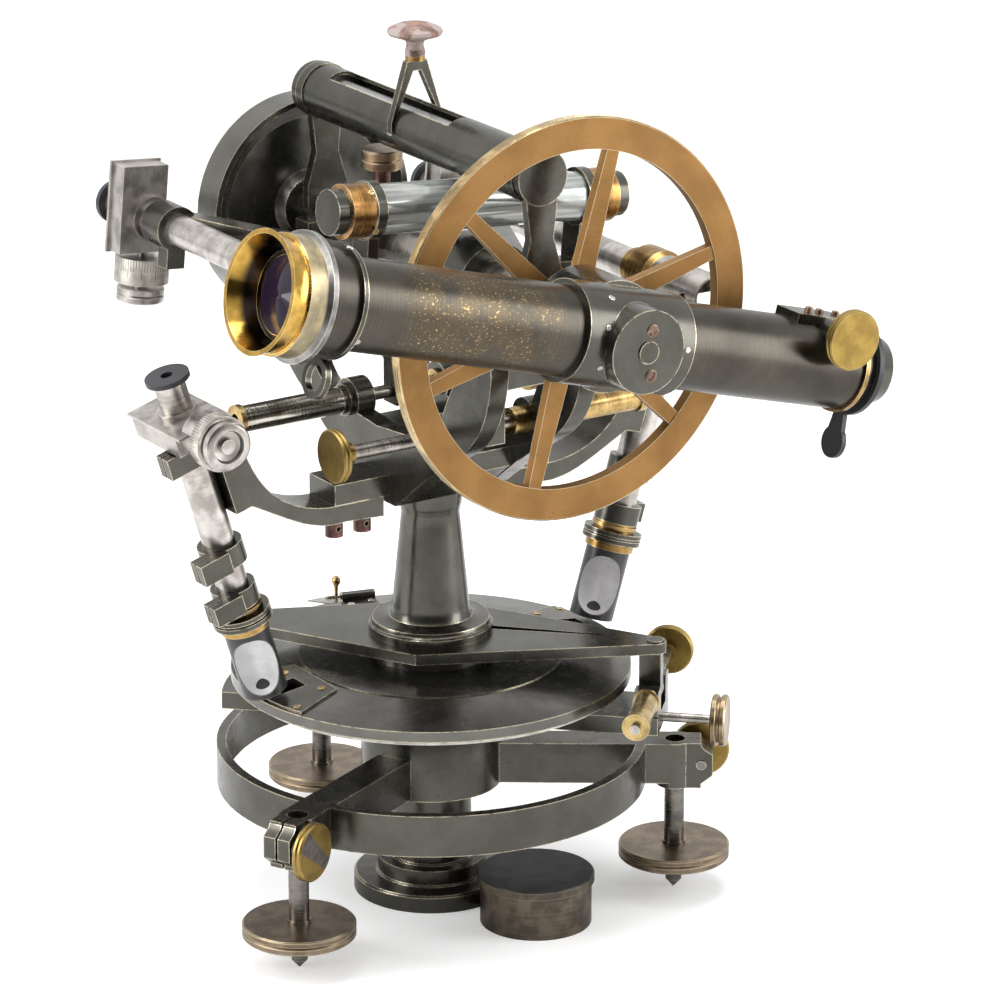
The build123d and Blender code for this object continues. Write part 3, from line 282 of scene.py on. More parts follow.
def plain_metal(name, colour, shade, rough=0.34, edge=FILED_EDGE):
    """Flat filed metal: cloudy, with brown freckles, faint scratches and a painted highlight on its edges,
    partly rubbed wear.
    """
    f = Finish(name, Metallic=0.9)
    clouds, scratches = f.noise(8, 4), f.noise(0.8, 3, stretch=(1, 1, 0.12))
    freckle = f.step(f.noise(1.3, 2), 0.64, 0.72) * f.step(f.noise(6), 0.40, 0.58)
    body = f.blend(f.step(clouds * 0.8 + scratches * 0.2, 0.38, 0.60), shade, colour)
    body = f.blend(freckle * 0.5, body, BROWN_FRECKLE)
    # The edge colour is a painted highlight on the outer edges, partly rubbed wear.
    f.set(Base_Color=f.blend(f.edges(0.5) * 0.85, body, edge))
    f.set(Roughness=f.step(clouds, 0.3, 0.7, rough - 0.05, rough + 0.08))
    f.bump(scratches + clouds, 0.008, 0.5)
    return f.material


def brass(name, line, colour=BRASS_GOLD, shade=BRASS_DULL, **changes):
    return turned_metal(name, line, colour, shade, **changes)


def knob_brass(name, line):
    return turned_metal(name, line, KNOB_GOLD, KNOB_DULL, 0.33, KNOB_EDGE, spots=0.9)


def steel(name, line, colour=STEEL, shade=STEEL_DULL, rough=0.28):
    return turned_metal(name, line, colour, shade, rough, STEEL_EDGE)


def nickel(name, line):
    return turned_metal(name, line, NICKEL, NICKEL_DULL, 0.3, NICKEL_EDGE)


# Finishes of single pieces
DRUM_SILVER, DRUM_EDGE, DRUM_INK = (0.66, 0.62, 0.56), (0.85, 0.83, 0.78), (0.05, 0.04, 0.035)
DRUM_DIVISIONS, LONG_MARK_EVERY = 60, 5
MARK_HALF_WIDTH, SHORT_MARK, LONG_MARK = 0.10, 0.45, 0.7
WHOLE_TURNS = 1000.5  # keeps a place above zero before its fraction is taken, and half a step on


def divided(name, line, low, high):
    """A silvered drum with a line for each division, longer at every fifth."""
    f = Finish(name, Metallic=0.85)
    _, along = f.distance(line)
    place = f.angle(line, DRUM_DIVISIONS)
    near = f.maths("ABSOLUTE", f.maths("FRACT", place + WHOLE_TURNS) - 0.5)
    near_long = f.maths("ABSOLUTE", f.maths("FRACT", place / LONG_MARK_EVERY + WHOLE_TURNS) - 0.5)
    mark = (near < MARK_HALF_WIDTH) * (along > low) * (along < low + (high - low) * SHORT_MARK)
    long_mark = (near_long < MARK_HALF_WIDTH / LONG_MARK_EVERY) * (along > low)
    long_mark = long_mark * (along < low + (high - low) * LONG_MARK)
    clouds = f.noise(7)
    silver = f.blend(f.step(clouds, 0.35, 0.65), tuple(0.62 * c for c in DRUM_SILVER), DRUM_SILVER)
    # Painted highlight on the drum's edges, partly rubbed wear.
    silver = f.blend(f.edges(0.4) * 0.8, silver, DRUM_EDGE)
    f.set(Base_Color=f.blend(f.maths("MAXIMUM", mark, long_mark) * 0.85, silver, DRUM_INK))
    f.set(Roughness=f.step(clouds, 0.3, 0.7, 0.28, 0.42))
    f.bump(f.maths("SINE", along * 20) + f.noise(2) * 1.4, 0.006, 0.6)
    return f.material


def wheel_finish():
    """Matt lacquered brass: brown-gold with darker clouds, silvery on its edges: a painted highlight,
    partly rubbed wear.
    """
    deep, light, ring = (0.21, 0.108, 0.034), (0.30, 0.158, 0.052), (0.42, 0.24, 0.08)
    spot_brown, rubbed = (0.13, 0.07, 0.03), (0.72, 0.62, 0.42)
    f = Finish("wheel_brass", Metallic=0.85)
    radius, _ = f.distance(CROSS)
    clouds = f.noise(22)
    grain = f.bands(radius * 1.3, 3.0)
    body = f.blend(f.step(clouds, 0.3, 0.7), deep, light)
    body = f.blend(f.step(grain, 0.35, 0.65) * 0.2, body, ring)
    spots = f.step(f.noise(1.6, 2), 0.68, 0.75) * f.step(clouds, 0.45, 0.6)
    body = f.blend(spots * 0.7, body, spot_brown)
    # The rubbed colour on the edges is a painted highlight, partly real wear.
    f.set(Base_Color=f.blend(f.edges(0.5), body, rubbed))
    f.set(Roughness=f.step(grain, 0.3, 0.7, 0.40, 0.52))
    f.bump(grain + f.noise(1.8) * 0.6, 0.01, 0.5)
    return f.material


def worn_tube(name, gold):
    """The telescope's tube: grey-black, rubbed through to brass in a patch before the sleeve."""
    deep, light, ring_dark = (0.055, 0.050, 0.042), (0.100, 0.090, 0.074), (0.03, 0.028, 0.024)
    brown, flake, pit = (0.17, 0.12, 0.06), (0.50, 0.36, 0.16), (0.04, 0.03, 0.025)
    patch_start, patch_full, patch_fades, patch_end = 36, 60, 112, 142
    f = Finish(name, Metallic=0.95)
    _, along = f.distance(SIGHT)
    clouds = f.noise(34)
    streaks = f.noise(1.05, 4, 0.65, stretch=(0.6, 1, 1))
    patch = f.step(along, patch_start, patch_full) * f.step(along, patch_end, patch_fades)
    patch = patch * f.step(f.noise(20), 0.30, 0.55)
    rubbed = f.step(streaks, 0.585, 0.66) * patch * gold
    body = f.blend(f.step(clouds, 0.3, 0.7), deep, light)
    body = f.blend(patch * gold * 0.4, body, brown)
    ring = f.bands(along * 1.6, 2.0)
    body = f.blend(f.step(ring, 0.42, 0.62) * 0.3, body, ring_dark)
    body = f.blend(rubbed, body, flake)
    pits = f.step(f.noise(1.1, 1), 0.72, 0.77)
    f.set(Base_Color=f.blend(pits * 0.5, body, pit))
    f.set(Roughness=f.step(clouds, 0.3, 0.7, 0.27, 0.36))
    f.bump(f.noise(1.4) + ring * 0.4, 0.012, 0.6)
    return f.material


def objective_gold():
    """Polished gold-coloured cell whose cone is painted dark inwards, a painted reflection of the black
    glass, with a painted highlight on its edges.
    """
    deep, light, rubbed = (0.42, 0.25, 0.05), (0.62, 0.38, 0.085), (0.95, 0.80, 0.42)
    painted_glass_reflection = (0.03, 0.022, 0.02)
    cone_start, cone_edge_r, cone_dark_r = 183.6, 24.6, 22.6
    f = Finish("cell_gold", Metallic=1.0)
    radius, along = f.distance(SIGHT)
    clouds = f.noise(6)
    gold = f.blend(f.step(clouds, 0.35, 0.65), deep, light)
    # Painted reflection: the inner cone is painted near-black, as the black glass would show in it.
    inner_cone = f.step(radius, cone_edge_r, cone_dark_r) * (along > cone_start)
    gold = f.blend(inner_cone, gold, painted_glass_reflection)
    # The rubbed colour on the edges is a painted highlight, partly real wear.
    f.set(Base_Color=f.blend(f.edges(0.5) * 0.7, gold, rubbed))
    f.set(Roughness=f.step(clouds, 0.3, 0.7, 0.12, 0.20))
    f.bump(f.noise(2), 0.006, 0.4)
    return f.material


def vial_finish():
    """The glass of the index level: silver-green, with long dark streaks that run along the tube and
    change round it.
    """
    dark_streak, silver, mist_grey = (0.16, 0.175, 0.165), (0.46, 0.48, 0.455), (0.60, 0.61, 0.58)
    f = Finish("filled_vial", Metallic=0.35, Coat_Weight=1.0, Coat_Roughness=0.03)
    streaks = f.bands(f.angle(VIAL, 1) * 14, 2.0)
    mist = f.noise(7, 3, stretch=(0.3, 1, 1))
    body = f.blend(f.step(streaks, 0.36, 0.64), dark_streak, silver)
    f.set(Base_Color=f.blend(f.step(mist, 0.45, 0.7) * 0.5, body, mist_grey))
    f.set(Roughness=f.step(mist, 0.3, 0.7, 0.10, 0.20))
    f.bump(mist, 0.01, 0.3)
    return f.material


def wood_finish():
    """Dark turned wood with a worn, greyed side."""
    dark_grain, light_grain, worn_grey = (0.10, 0.055, 0.04), (0.30, 0.17, 0.13), (0.34, 0.27, 0.25)
    f = Finish("handle_wood")
    grain = f.noise(3.2, 5, 0.6, stretch=(1, 1, 0.35))
    body = f.blend(f.step(grain, 0.35, 0.65), dark_grain, light_grain)
    f.set(Base_Color=f.blend(f.step(f.noise(11), 0.46, 0.54), body, worn_grey))
    f.set(Roughness=f.step(grain, 0.3, 0.7, 0.42, 0.62))
    f.bump(grain, 0.15, 0.6)
    return f.material


def shell_finish(name, line, facing, wide):
    """Black enamel outside and matt white in the bowl, with painted shade, painted edge highlights and a
    painted dark opening.
    """
    clean, dirty = (0.74, 0.73, 0.74), (0.56, 0.54, 0.53)
    painted_low_shade, painted_side_shade, painted_hole_shade = (0.34, 0.33, 0.34), (0.33, 0.32, 0.33), (0.02, 0.018, 0.018)
    enamel, enamel_light, rubbed = (0.020, 0.020, 0.022), (0.038, 0.037, 0.036), (0.42, 0.38, 0.32)
    hole_place, hole_half_long, hole_half_turn = 171.0, 2.2, 0.5
    bowl_edge_r, bowl_white_r, shade_start, shade_end = wide - 0.22, wide - 0.5, 158, 172
    f = Finish(name + "_shell")
    radius, along = f.distance(line)
    turn = f.angle(line, FULL_TURN) - facing
    turn = turn - f.maths("ROUND", turn / FULL_TURN) * FULL_TURN
    # A painted dark patch low in the bowl stands for an opening: painted shade where the mesh has no hole.
    hole_across = f.maths("POWER", turn / hole_half_turn, 2.0)
    painted_hole = hole_across + f.maths("POWER", (along - hole_place) / hole_half_long, 2.0) < 1.0
    bowl = f.step(radius, bowl_edge_r, bowl_white_r)
    white = f.blend(f.step(f.noise(5), 0.4, 0.7) * 0.5, clean, dirty)
    # Painted shade: the bowl's white is darker towards its lower end and on one side.
    white = f.blend(f.step(along, shade_start, shade_end) * 0.45, white, painted_low_shade)
    white = f.blend(f.step(turn, -0.2, 1.0) * 0.5, white, painted_side_shade)
    body = f.blend(f.noise(9), enamel, enamel_light)
    # The rubbed colour on the outer edges is a painted highlight, partly real wear.
    body = f.blend(f.edges(0.5) * 0.5, body, rubbed)
    f.set(Base_Color=f.blend(bowl, body, f.blend(painted_hole, white, painted_hole_shade)))
    f.set(Roughness=f.step(bowl, 0.0, 1.0, 0.32, 0.6))
    f.bump(f.noise(1.2), 0.008, 0.4)
    return f.material


# Putting finishes on the carried-over nodes
def between(line, low=-FAR, high=FAR, inner=-1.0, outer=FAR, side=0):
    """A rule for the faces whose middle lies between two places along a line and between two distances
    from it, in millimetres, and where side is -1 or 1, to the left or right of the vertical axis."""
    point, axis = np.array(line[0]), unit(line[1])

    def rule(middles):
        away = middles - point
        along = away @ axis
        radius = np.linalg.norm(away - along[:, None] * axis, axis=1)
        found = (along > low) & (along < high) & (radius > inner) & (radius < outer)
        return found & (middles[:, 0] * side > 0) if side else found

    return rule


def either(first, second):
    return lambda middles: first(middles) | second(middles)


def paint(name, finish, *rules):
    """One finish for a node, and others on the faces that a rule picks by their middles."""
    mesh = nodes[name].data
    middles = np.empty(len(mesh.polygons) * 3)
    mesh.polygons.foreach_get("center", middles)
    middles = middles.reshape(-1, 3) / MM
    mesh.materials.clear()
    mesh.materials.append(finish)
    index = np.zeros(len(mesh.polygons), int)
    for material, rule in rules:
        mesh.materials.append(material)
        index[rule(middles)] = len(mesh.materials) - 1
    mesh.polygons.foreach_set("material_index", index)


def smooth(piece, degrees=32):
    """Rounds the shading of a piece's turned faces and keeps its corners."""
    piece.data.polygons.foreach_set("use_smooth", np.ones(len(piece.data.polygons), bool))
    weld = piece.modifiers.new("weld", "WELD")
    weld.merge_threshold = 1e-6
    split = piece.modifiers.new("corners", "EDGE_SPLIT")
    split.split_angle = np.radians(degrees)


for node in nodes.values():
    smooth(node)

BLACK = dark_metal("black_lacquer")
BLACK_SMOOTH = dark_metal("black_lacquer_turned", rough=0.24)
# A lighter copy of the black lacquer: painted light on the circle cover and the counterweight drum.
COVER_BLACK = dark_metal("cover_black", COVER_LIGHT, COVER_DEEP, 0.24)
LID_BLACK = dark_metal("lid_black", LID_LIGHT, LID_DEEP, 0.36, LID_WEAR_AND_SHEEN)
EBONITE = Finish("black_ebonite", Base_Color=(0.022, 0.022, 0.026), Roughness=0.42).material
RUSTED = turned_metal("browned_screw_steel", UPRIGHT, (0.19, 0.10, 0.08), (0.09, 0.05, 0.045), 0.42,
                      spots=0.8)
BOX_NICKEL = plain_metal("box_nickel", BOX_LIGHT, BOX_DULL)
LENS = Finish("lens_glass", Base_Color=(0.016, 0.010, 0.022), Roughness=0.05,
              Specular_IOR_Level=0.35).material
CLEAR_GLASS = Finish("level_glass", Base_Color=(0.9, 0.94, 0.92), Roughness=0.04, Alpha=0.25,
                     Coat_Weight=1.0).material

for name in ("base_casting", "azimuth_clamp_arm", "alidade_plate", "cover_fittings", "yoke_plate_left",
             "yoke_plate_right", "yoke_bridges", "microscope_brackets", "elevation_arm", "index_frame",
             "telescope_sleeve", "striding_level", "h_reflectors"):
    paint(name, BLACK)
for name, finish in (("column", BLACK_SMOOTH), ("circle_cover", COVER_BLACK),
                     ("counterweight_drum", COVER_BLACK), ("capstan_screws", RUSTED),
                     ("eyepiece_lever", EBONITE), ("objective_lens", LENS),
                     ("striding_glass", CLEAR_GLASS)):
    paint(name, finish)
paint("horizontal_circle", steel("circle_steel", UPRIGHT))
paint("horizontal_axis", steel("axis_steel", CROSS))

# Feet
DISC_BRONZE, DISC_DULL, DISC_EDGE = (0.27, 0.21, 0.15), (0.17, 0.13, 0.095), (0.76, 0.64, 0.40)
FOOT_ROD, FOOT_ROD_DULL = (0.22, 0.20, 0.18), (0.12, 0.11, 0.10)
FOOT_ROD_R, EAR_ROD_R = 7, 6
for k, degrees in enumerate(FOOT_ANGLES, 1):
    outward, across = round_the_axis(degrees)
    foot = (FOOT_CIRCLE_R * outward, (0, 0, 1))
    knob = (FOOT_KNOB_R * outward + (0, 0, FOOT_KNOB_Z), across)
    rod = steel(f"foot_rod_{k}", foot, FOOT_ROD, FOOT_ROD_DULL)
    disc = turned_metal(f"foot_disc_{k}", foot, DISC_BRONZE, DISC_DULL, 0.34, DISC_EDGE)
    paint(f"levelling_screw_{k}", rod, (disc, between(foot, inner=FOOT_ROD_R)))
    paint(f"foot_point_{k}", rod)
    gold = knob_brass(f"foot_clamp_knob_{k}", knob)
    paint(f"foot_clamp_{k}", rod, (gold, between(knob, inner=EAR_ROD_R)))

# Azimuth clamp, flap and cap
AZIMUTH_KNOB_START, CLAMP_DISC_START = 50, 141.6
FLAP_TOP_Z, CAP_LID_Z = 126.2, 25.3
tangent_steel = steel("tangent_steel", TANGENT)
paint("azimuth_spring_barrel", brass("tangent_brass", TANGENT, (0.62, 0.46, 0.20), (0.34, 0.24, 0.10)))
paint("azimuth_plunger", tangent_steel)
paint("azimuth_tangent_screw", tangent_steel,
      (knob_brass("azimuth_knob", TANGENT), between(TANGENT, low=AZIMUTH_KNOB_START)))
clamp_disc = turned_metal("clamp_disc", CLAMP_SCREW, (0.36, 0.27, 0.16), (0.20, 0.14, 0.08), 0.3)
paint("azimuth_clamp_screw", steel("clamp_rod", CLAMP_SCREW),
      (clamp_disc, between(CLAMP_SCREW, low=CLAMP_DISC_START)))
paint("flap_leaf", steel("flap_silver", FLAP_HINGE, rough=0.2),
      (brass("flap_knob", UPRIGHT), between(UPRIGHT, low=FLAP_TOP_Z)))
cap_side = turned_metal("cap_side", CAP, (0.17, 0.14, 0.105), (0.095, 0.08, 0.063), 0.33,
                        (0.4, 0.36, 0.3))
paint("loose_cap", cap_side, (LID_BLACK, between(UPRIGHT, low=CAP_LID_Z)))

# Micrometer microscopes: the slanted pair, then the long pair of the index frame
EYE_DISC_SPAN, EYE_BOX_SPAN, EYE_BOX_R = (-1, 2.52), (19.9, 32.6), 60
COLLAR_SPANS, TUBE_REACH = ((127.01, 130.99), (137.01, 141.1)), 99
EYE_DRUM_START, EYE_DRUM_INNER_R, EYE_SCALE_SPAN = 30, 13.2, (31, 38.8)
LONG_DRUM_END, LONG_DRUM_INNER_R, LONG_SCALE_SPAN = 34, 13.3, (20.6, 33.6)
LONG_BOX_SPAN, LONG_DISC_Y, FLARE_Y = (110.9, 123.1), 143.9, -68.9


def on_slanted_pair(low, high, outer):
    """The faces of both slanted microscopes between two places down the tube, out to a radius."""
    return either(between(EYE_LEFT, low, high, outer=outer, side=-1),
                  between(EYE_RIGHT, low, high, outer=outer, side=1))


long_finish, collars, flares = {}, {}, {}
for name, side, slanted, long in (("left", -1, EYE_LEFT, LONG_LEFT), ("right", 1, EYE_RIGHT, LONG_RIGHT)):
    long_finish[name] = nickel(f"long_nickel_{name}", long)
    collars[name] = (brass(f"collar_brass_{name}", slanted), slanted, side)
    flares[name] = (brass(f"flare_brass_{name}", long), between(CROSS, low=FLARE_Y, side=side))

    drum_line = (np.array(slanted[0]) + EYE_DRUM_PLACE * np.array(slanted[1]), (0, side, 0))
    scale = divided(f"h_drum_scale_{name}", drum_line, *EYE_SCALE_SPAN)
    paint(f"h_drum_{name}", nickel(f"h_knob_{name}", drum_line),
          (scale, between(drum_line, low=EYE_DRUM_START, inner=EYE_DRUM_INNER_R)))

    drum_line = (np.array(long[0]) + (0, LONG_DRUM_Y, 0), -FRAME_Z)
    scale = divided(f"v_drum_scale_{name}", drum_line, *LONG_SCALE_SPAN)
    paint(f"v_drum_{name}", nickel(f"v_knob_{name}", drum_line),
          (scale, between(drum_line, high=LONG_DRUM_END, inner=LONG_DRUM_INNER_R)))

right_half = between(CROSS, side=1)
paint("h_microscopes", nickel("eye_nickel", EYE_LEFT), (nickel("eye_nickel_right", EYE_RIGHT), right_half),
      (BOX_NICKEL, on_slanted_pair(*EYE_BOX_SPAN, EYE_BOX_R)),
      (EBONITE, on_slanted_pair(*EYE_DISC_SPAN, TUBE_REACH)))
paint("h_clamps", BLACK, *[(finish, between(line, low, high, outer=TUBE_REACH, side=side))
                           for low, high in COLLAR_SPANS for finish, line, side in collars.values()])
paint("v_microscopes", long_finish["left"], (long_finish["right"], right_half),
      (BOX_NICKEL, between(CROSS, *LONG_BOX_SPAN)), (EBONITE, between(CROSS, low=LONG_DISC_Y)))
paint("v_reflectors", long_finish["left"], (long_finish["right"], right_half), *flares.values())

# Tangent screws and the clamp knob of the yoke
BARREL_SPAN, BLOCK_HALF, ROD_R, BARREL_R = (-92, -36), 36.6, 6.8, 27
KNOB_START, STEM_KNOB_Z = 70, 364.8
barrel_brass = brass("barrel_brass", INDEX_LINE, (0.60, 0.42, 0.17), (0.30, 0.20, 0.08))
barrel_steel = steel("barrel_steel", ELEVATION_LINE, (0.70, 0.67, 0.60), (0.46, 0.43, 0.37), 0.16)
paint("tangent_barrels", barrel_brass,
      (barrel_steel, between(ELEVATION_LINE, *BARREL_SPAN, outer=BARREL_R)),
      (BLACK, between(ELEVATION_LINE, -BLOCK_HALF, BLOCK_HALF, inner=ROD_R, outer=BARREL_R)))
for name, line in (("elevation", ELEVATION_LINE), ("index", INDEX_LINE)):
    rod = steel(f"{name}_rod", line)
    paint(f"{name}_plunger", rod)
    at_the_end = either(between(line, high=-KNOB_START), between(line, low=KNOB_START))
    paint(f"{name}_tangent_screw", rod, (knob_brass(f"{name}_knob", line), at_the_end))
stem_knob = turned_metal("stem_knob", CLAMP_STEM, (0.34, 0.24, 0.15), (0.18, 0.12, 0.08), 0.32)
paint("elevation_clamp_screw", RUSTED, (stem_knob, between(UPRIGHT, low=STEM_KNOB_Z)))

# Telescope and wheel
WHEEL_RIM_R, SLEEVE_SPAN = 96.9, (157.4, 172.6)
CELL_BAND_END, CELL_BAND_R, DRAW_RING_START, DRAW_RING_R = 187.2, 27, -137.6, 20.5
rim_brass = brass("rim_brass", CROSS, (0.66, 0.50, 0.26), (0.36, 0.25, 0.11), rough=0.22)
paint("graduated_wheel", wheel_finish(), (rim_brass, between(CROSS, inner=WHEEL_RIM_R)))
paint("telescope_tube", worn_tube("worn_tube", 0.9))
bead = steel("bead_steel", SIGHT, (0.30, 0.29, 0.27), (0.16, 0.155, 0.145))
paint("telescope_fittings", BLACK, (worn_tube("objective_sleeve", 0.0), between(SIGHT, *SLEEVE_SPAN)),
      (bead, between(SIGHT, low=SLEEVE_SPAN[1])))
cell_outside = brass("cell_outside", SIGHT, (0.46, 0.38, 0.23), (0.27, 0.23, 0.15), rough=0.32, spots=1.0,
                     spot_colour=(0.20, 0.18, 0.14))
paint("objective_cell", objective_gold(),
      (cell_outside, between(SIGHT, high=CELL_BAND_END, inner=CELL_BAND_R)))
paint("eyepiece_draw", BLACK, (brass("draw_brass", SIGHT, (0.42, 0.26, 0.10)),
                               between(SIGHT, low=DRAW_RING_START, inner=DRAW_RING_R)))
paint("focus_knob", knob_brass("focus_brass", FOCUS))

# Levels
CASE_END_START, CASE_END_STOP, FERRULE_TOP_Z = 63.6, 76.4, 428.4
case_ends = either(between(VIAL, CASE_END_START, CASE_END_STOP),
                   between(VIAL, -CASE_END_STOP, -CASE_END_START))
paint("index_level_case", BLACK, (brass("case_brass", VIAL, (0.48, 0.26, 0.085), (0.22, 0.115, 0.04)),
                                  case_ends))
paint("index_level_glass", vial_finish())
paint("striding_handle", wood_finish(),
      (brass("ferrule_brass", HANDLE), between(HANDLE, high=FERRULE_TOP_Z)))


# New pieces
def grid_piece(name, body, points, finish):
    """A mesh on grids of points, rows by columns: each quad joins four neighbours, and the last column
    of a grid joins its first, so that every row is a closed ring."""
    count, rows, columns = points.shape[:3]
    start = np.arange(count)[:, None, None] * rows * columns
    row, column = np.arange(rows - 1)[None, :, None], np.arange(columns)[None, None, :]
    here, below = start + row * columns, start + (row + 1) * columns
    after = (column + 1) % columns
    quads = np.stack([here + column, here + after, below + after, below + column], axis=-1).reshape(-1, 4)
    mesh = bpy.data.meshes.new(name)
    mesh.from_pydata((points.reshape(-1, 3) * MM).tolist(), [], quads.tolist())
    mesh.materials.append(finish)
    piece = bpy.data.objects.new(name, mesh)
    bpy.context.scene.collection.objects.link(piece)
    smooth(piece, 40)
    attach(piece, body)
    return piece


SHELL_START, SHELL_END, SHELL_R = 141.0, 177.2, 11.2
SHELL_COLUMNS, SHELL_ROWS = 200, 150
BOWL_MIDDLE, BOWL_HALF_LONG, BOWL_HALF_TURN, BOWL_DEPTH = 159.6, 15.2, np.radians(66), 8.0
BOWL_SIDE = unit((-0.5175, -0.7935, 0.32))


def reflector(name, line):
    """A closed tube of radius R round a line. On its front an oval bowl is sunk in:
    R less depth x sqrt(1 - q), where q is the squared distance from the oval's middle,
    in half angles across and half lengths along."""
    side, up, axis = basis(line[1])
    facing = np.arctan2(BOWL_SIDE @ up, BOWL_SIDE @ side)
    turn = np.linspace(-np.pi, np.pi, SHELL_COLUMNS, endpoint=False)
    along = np.concatenate([[SHELL_START], np.linspace(SHELL_START, SHELL_END, SHELL_ROWS), [SHELL_END]])
    turns, places = np.meshgrid(turn, along)
    q = (turns / BOWL_HALF_TURN) ** 2 + ((places - BOWL_MIDDLE) / BOWL_HALF_LONG) ** 2
    radius = SHELL_R - BOWL_DEPTH * np.sqrt(np.clip(1 - q, 0, 1))
    radius[0] = radius[-1] = 0
    x, y = radius * np.cos(turns + facing), radius * np.sin(turns + facing)
    across = x[..., None] * side + y[..., None] * up
    points = np.array(line[0]) + across + places[..., None] * axis
    finish = shell_finish(name, line, facing, SHELL_R)
    return grid_piece(name, "alidade", points[None, ::-1], finish)


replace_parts(reflector("reflector_left", EYE_LEFT), "h_reflectors")
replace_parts(reflector("reflector_right", EYE_RIGHT), "h_reflectors")

HEAD_RINGS = np.array([0, 0.2, 0.4, 0.6, 0.8, 0.93, 1.0, 1.0])
HEAD_FALL = np.array([0, 0, 0, 0, 0, 0, 0.25, 1.6])
HEAD_COLUMNS, HEAD_DOME, SLOT_HALF_WIDTH, SLOT_DEPTH = 40, 0.2, 0.2, 0.5


def heads(name, body, finish, places):
    """Screw heads on given places: z = h (1 - 0.2 r^2) over a disc, its rim straight down, and
    a slot sunk across the middle where the distance from a line through it is under a fifth of
    the radius. Each place is a point, the way the head faces, its radius and height in
    millimetres and the turn of its slot."""
    turn = np.linspace(0, FULL_TURN, HEAD_COLUMNS, endpoint=False)
    x, y = HEAD_RINGS[:, None] * np.cos(turn), HEAD_RINGS[:, None] * np.sin(turn)
    dome = 1 - HEAD_DOME * (x ** 2 + y ** 2) - HEAD_FALL[:, None]
    on_top = HEAD_FALL[:, None] < 1
    made = []
    for place, axis, radius, height, slot_turn in places:
        side, up, axis = basis(axis)
        sunk = abs(x * np.sin(slot_turn) - y * np.cos(slot_turn)) < SLOT_HALF_WIDTH
        z = height * np.where(sunk & on_top, dome - SLOT_DEPTH, dome)
        across = radius * (x[..., None] * side + y[..., None] * up)
        made.append(np.array(place) + across + z[..., None] * axis)
    grid_piece(name, body, np.array(made), finish)


SCREW_BRASS = plain_metal("screw_brass", (0.60, 0.44, 0.20), (0.36, 0.24, 0.10), 0.28, (0.9, 0.8, 0.5))
SCREW_RUST = plain_metal("screw_rust", (0.30, 0.19, 0.13), (0.15, 0.09, 0.07), 0.36, (0.62, 0.52, 0.42))
SCREW_STEEL = plain_metal("screw_steel", (0.55, 0.53, 0.49), (0.34, 0.32, 0.29), 0.28)
LEFT_COVER, RIGHT_COVER, BLOCK_TOP = (-0.13, 0, 0.99), (0.13, 0, 0.99), (0.27, 0, 0.96)
LEVEL_TOP, TOWARD_FRONT = (0, 0, 1), (0, -1, 0)
heads("window_screws", "alidade", SCREW_BRASS, [
    ((-76.5, 14.2, 124.8), LEFT_COVER, 2.1, 0.5, 0.6), ((-72.8, -14.5, 125.2), LEFT_COVER, 2.1, 0.5, 1.9),
    ((-92.4, -23.9, 122.4), LEFT_COVER, 2.1, 0.5, 2.6), ((-93.2, 23.9, 122.3), LEFT_COVER, 2.1, 0.5, 0.2),
    ((75.7, 18.4, 124.7), RIGHT_COVER, 2.1, 0.5, 1.1), ((72.8, -14.5, 125.2), RIGHT_COVER, 2.1, 0.5, 0.4),
    ((92.4, -23.9, 122.4), RIGHT_COVER, 2.1, 0.5, 2.2), ((93.2, 23.9, 122.3), RIGHT_COVER, 2.1, 0.5, 0.9)])
heads("flap_screws", "alidade", SCREW_STEEL, [
    ((5.9, 85.7, 123.2), LEVEL_TOP, 1.9, 0.5, 0.5), ((17.7, 85.3, 123.2), LEVEL_TOP, 1.9, 0.5, 2.0)])
heads("disc_screws", "telescope", SCREW_RUST, [
    ((2.3, -188, 339.5), TOWARD_FRONT, 3.1, 0.7, 0.35), ((1.4, -188, 318.0), TOWARD_FRONT, 3.1, 0.7, 0.9)])
heads("sleeve_screws", "telescope", SCREW_STEEL, [
    ((-9.4, -171.6, 353.1), (0.24, -0.47, 0.85), 1.7, 0.4, 0.3),
    ((-17.5, -181.2, 342.5), (0.08, -0.95, 0.3), 1.4, 0.4, 1.2),
    ((-21.3, -179.8, 323.6), (-0.13, -0.88, -0.45), 1.4, 0.4, 2.0),
    ((26.0, -182.4, 324.9), (0.04, -1, 0.09), 1.4, 0.4, 0.7)])
heads("focus_block_screws", "telescope", SCREW_RUST, [
    ((110.6, -161.0, 324.0), BLOCK_TOP, 2.0, 3.0, 0.4), ((118.9, -158.5, 321.7), BLOCK_TOP, 2.0, 2.2, 1.4),
    ((128.5, -158.3, 319.0), BLOCK_TOP, 2.0, 2.2, 0.8)])
heads("objective_screws", "telescope", SCREW_STEEL, [
    ((-144.8, -162.9, 396.0), (0.26, -0.12, 0.96), 1.6, 0.5, 0.4),
    ((-148.6, -174.4, 355.9), (-0.17, -0.77, -0.61), 1.6, 0.5, 1.0)])
heads("level_screws", "index_arm", SCREW_BRASS, [
    ((-60.0, -44.2, 381.2), (0.07, -0.63, 0.77), 1.7, 0.5, 0.4),
    ((-60.4, -48.9, 363.6), (0, -0.95, -0.3), 1.7, 0.5, 1.0)])

# Floor
FLOOR_HALF = 6.0
floor_mesh = bpy.data.meshes.new("floor")
corners = [(x * FLOOR_HALF, y * FLOOR_HALF, 0) for x, y in ((-1, -1), (1, -1), (1, 1), (-1, 1))]
floor_mesh.from_pydata(corners, [], [(0, 1, 2, 3)])
floor = bpy.data.objects.new("floor", floor_mesh)
bpy.context.scene.collection.objects.link(floor)
ground = Finish("pale_floor", Base_Color=(0.92, 0.92, 0.92), Roughness=0.9)
seen = ground.node("ShaderNodeLightPath", out="Is Camera Ray")
ground.set(Emission_Color=(1, 1, 1), Emission_Strength=seen * 0.30)
floor_mesh.materials.append(ground.material)

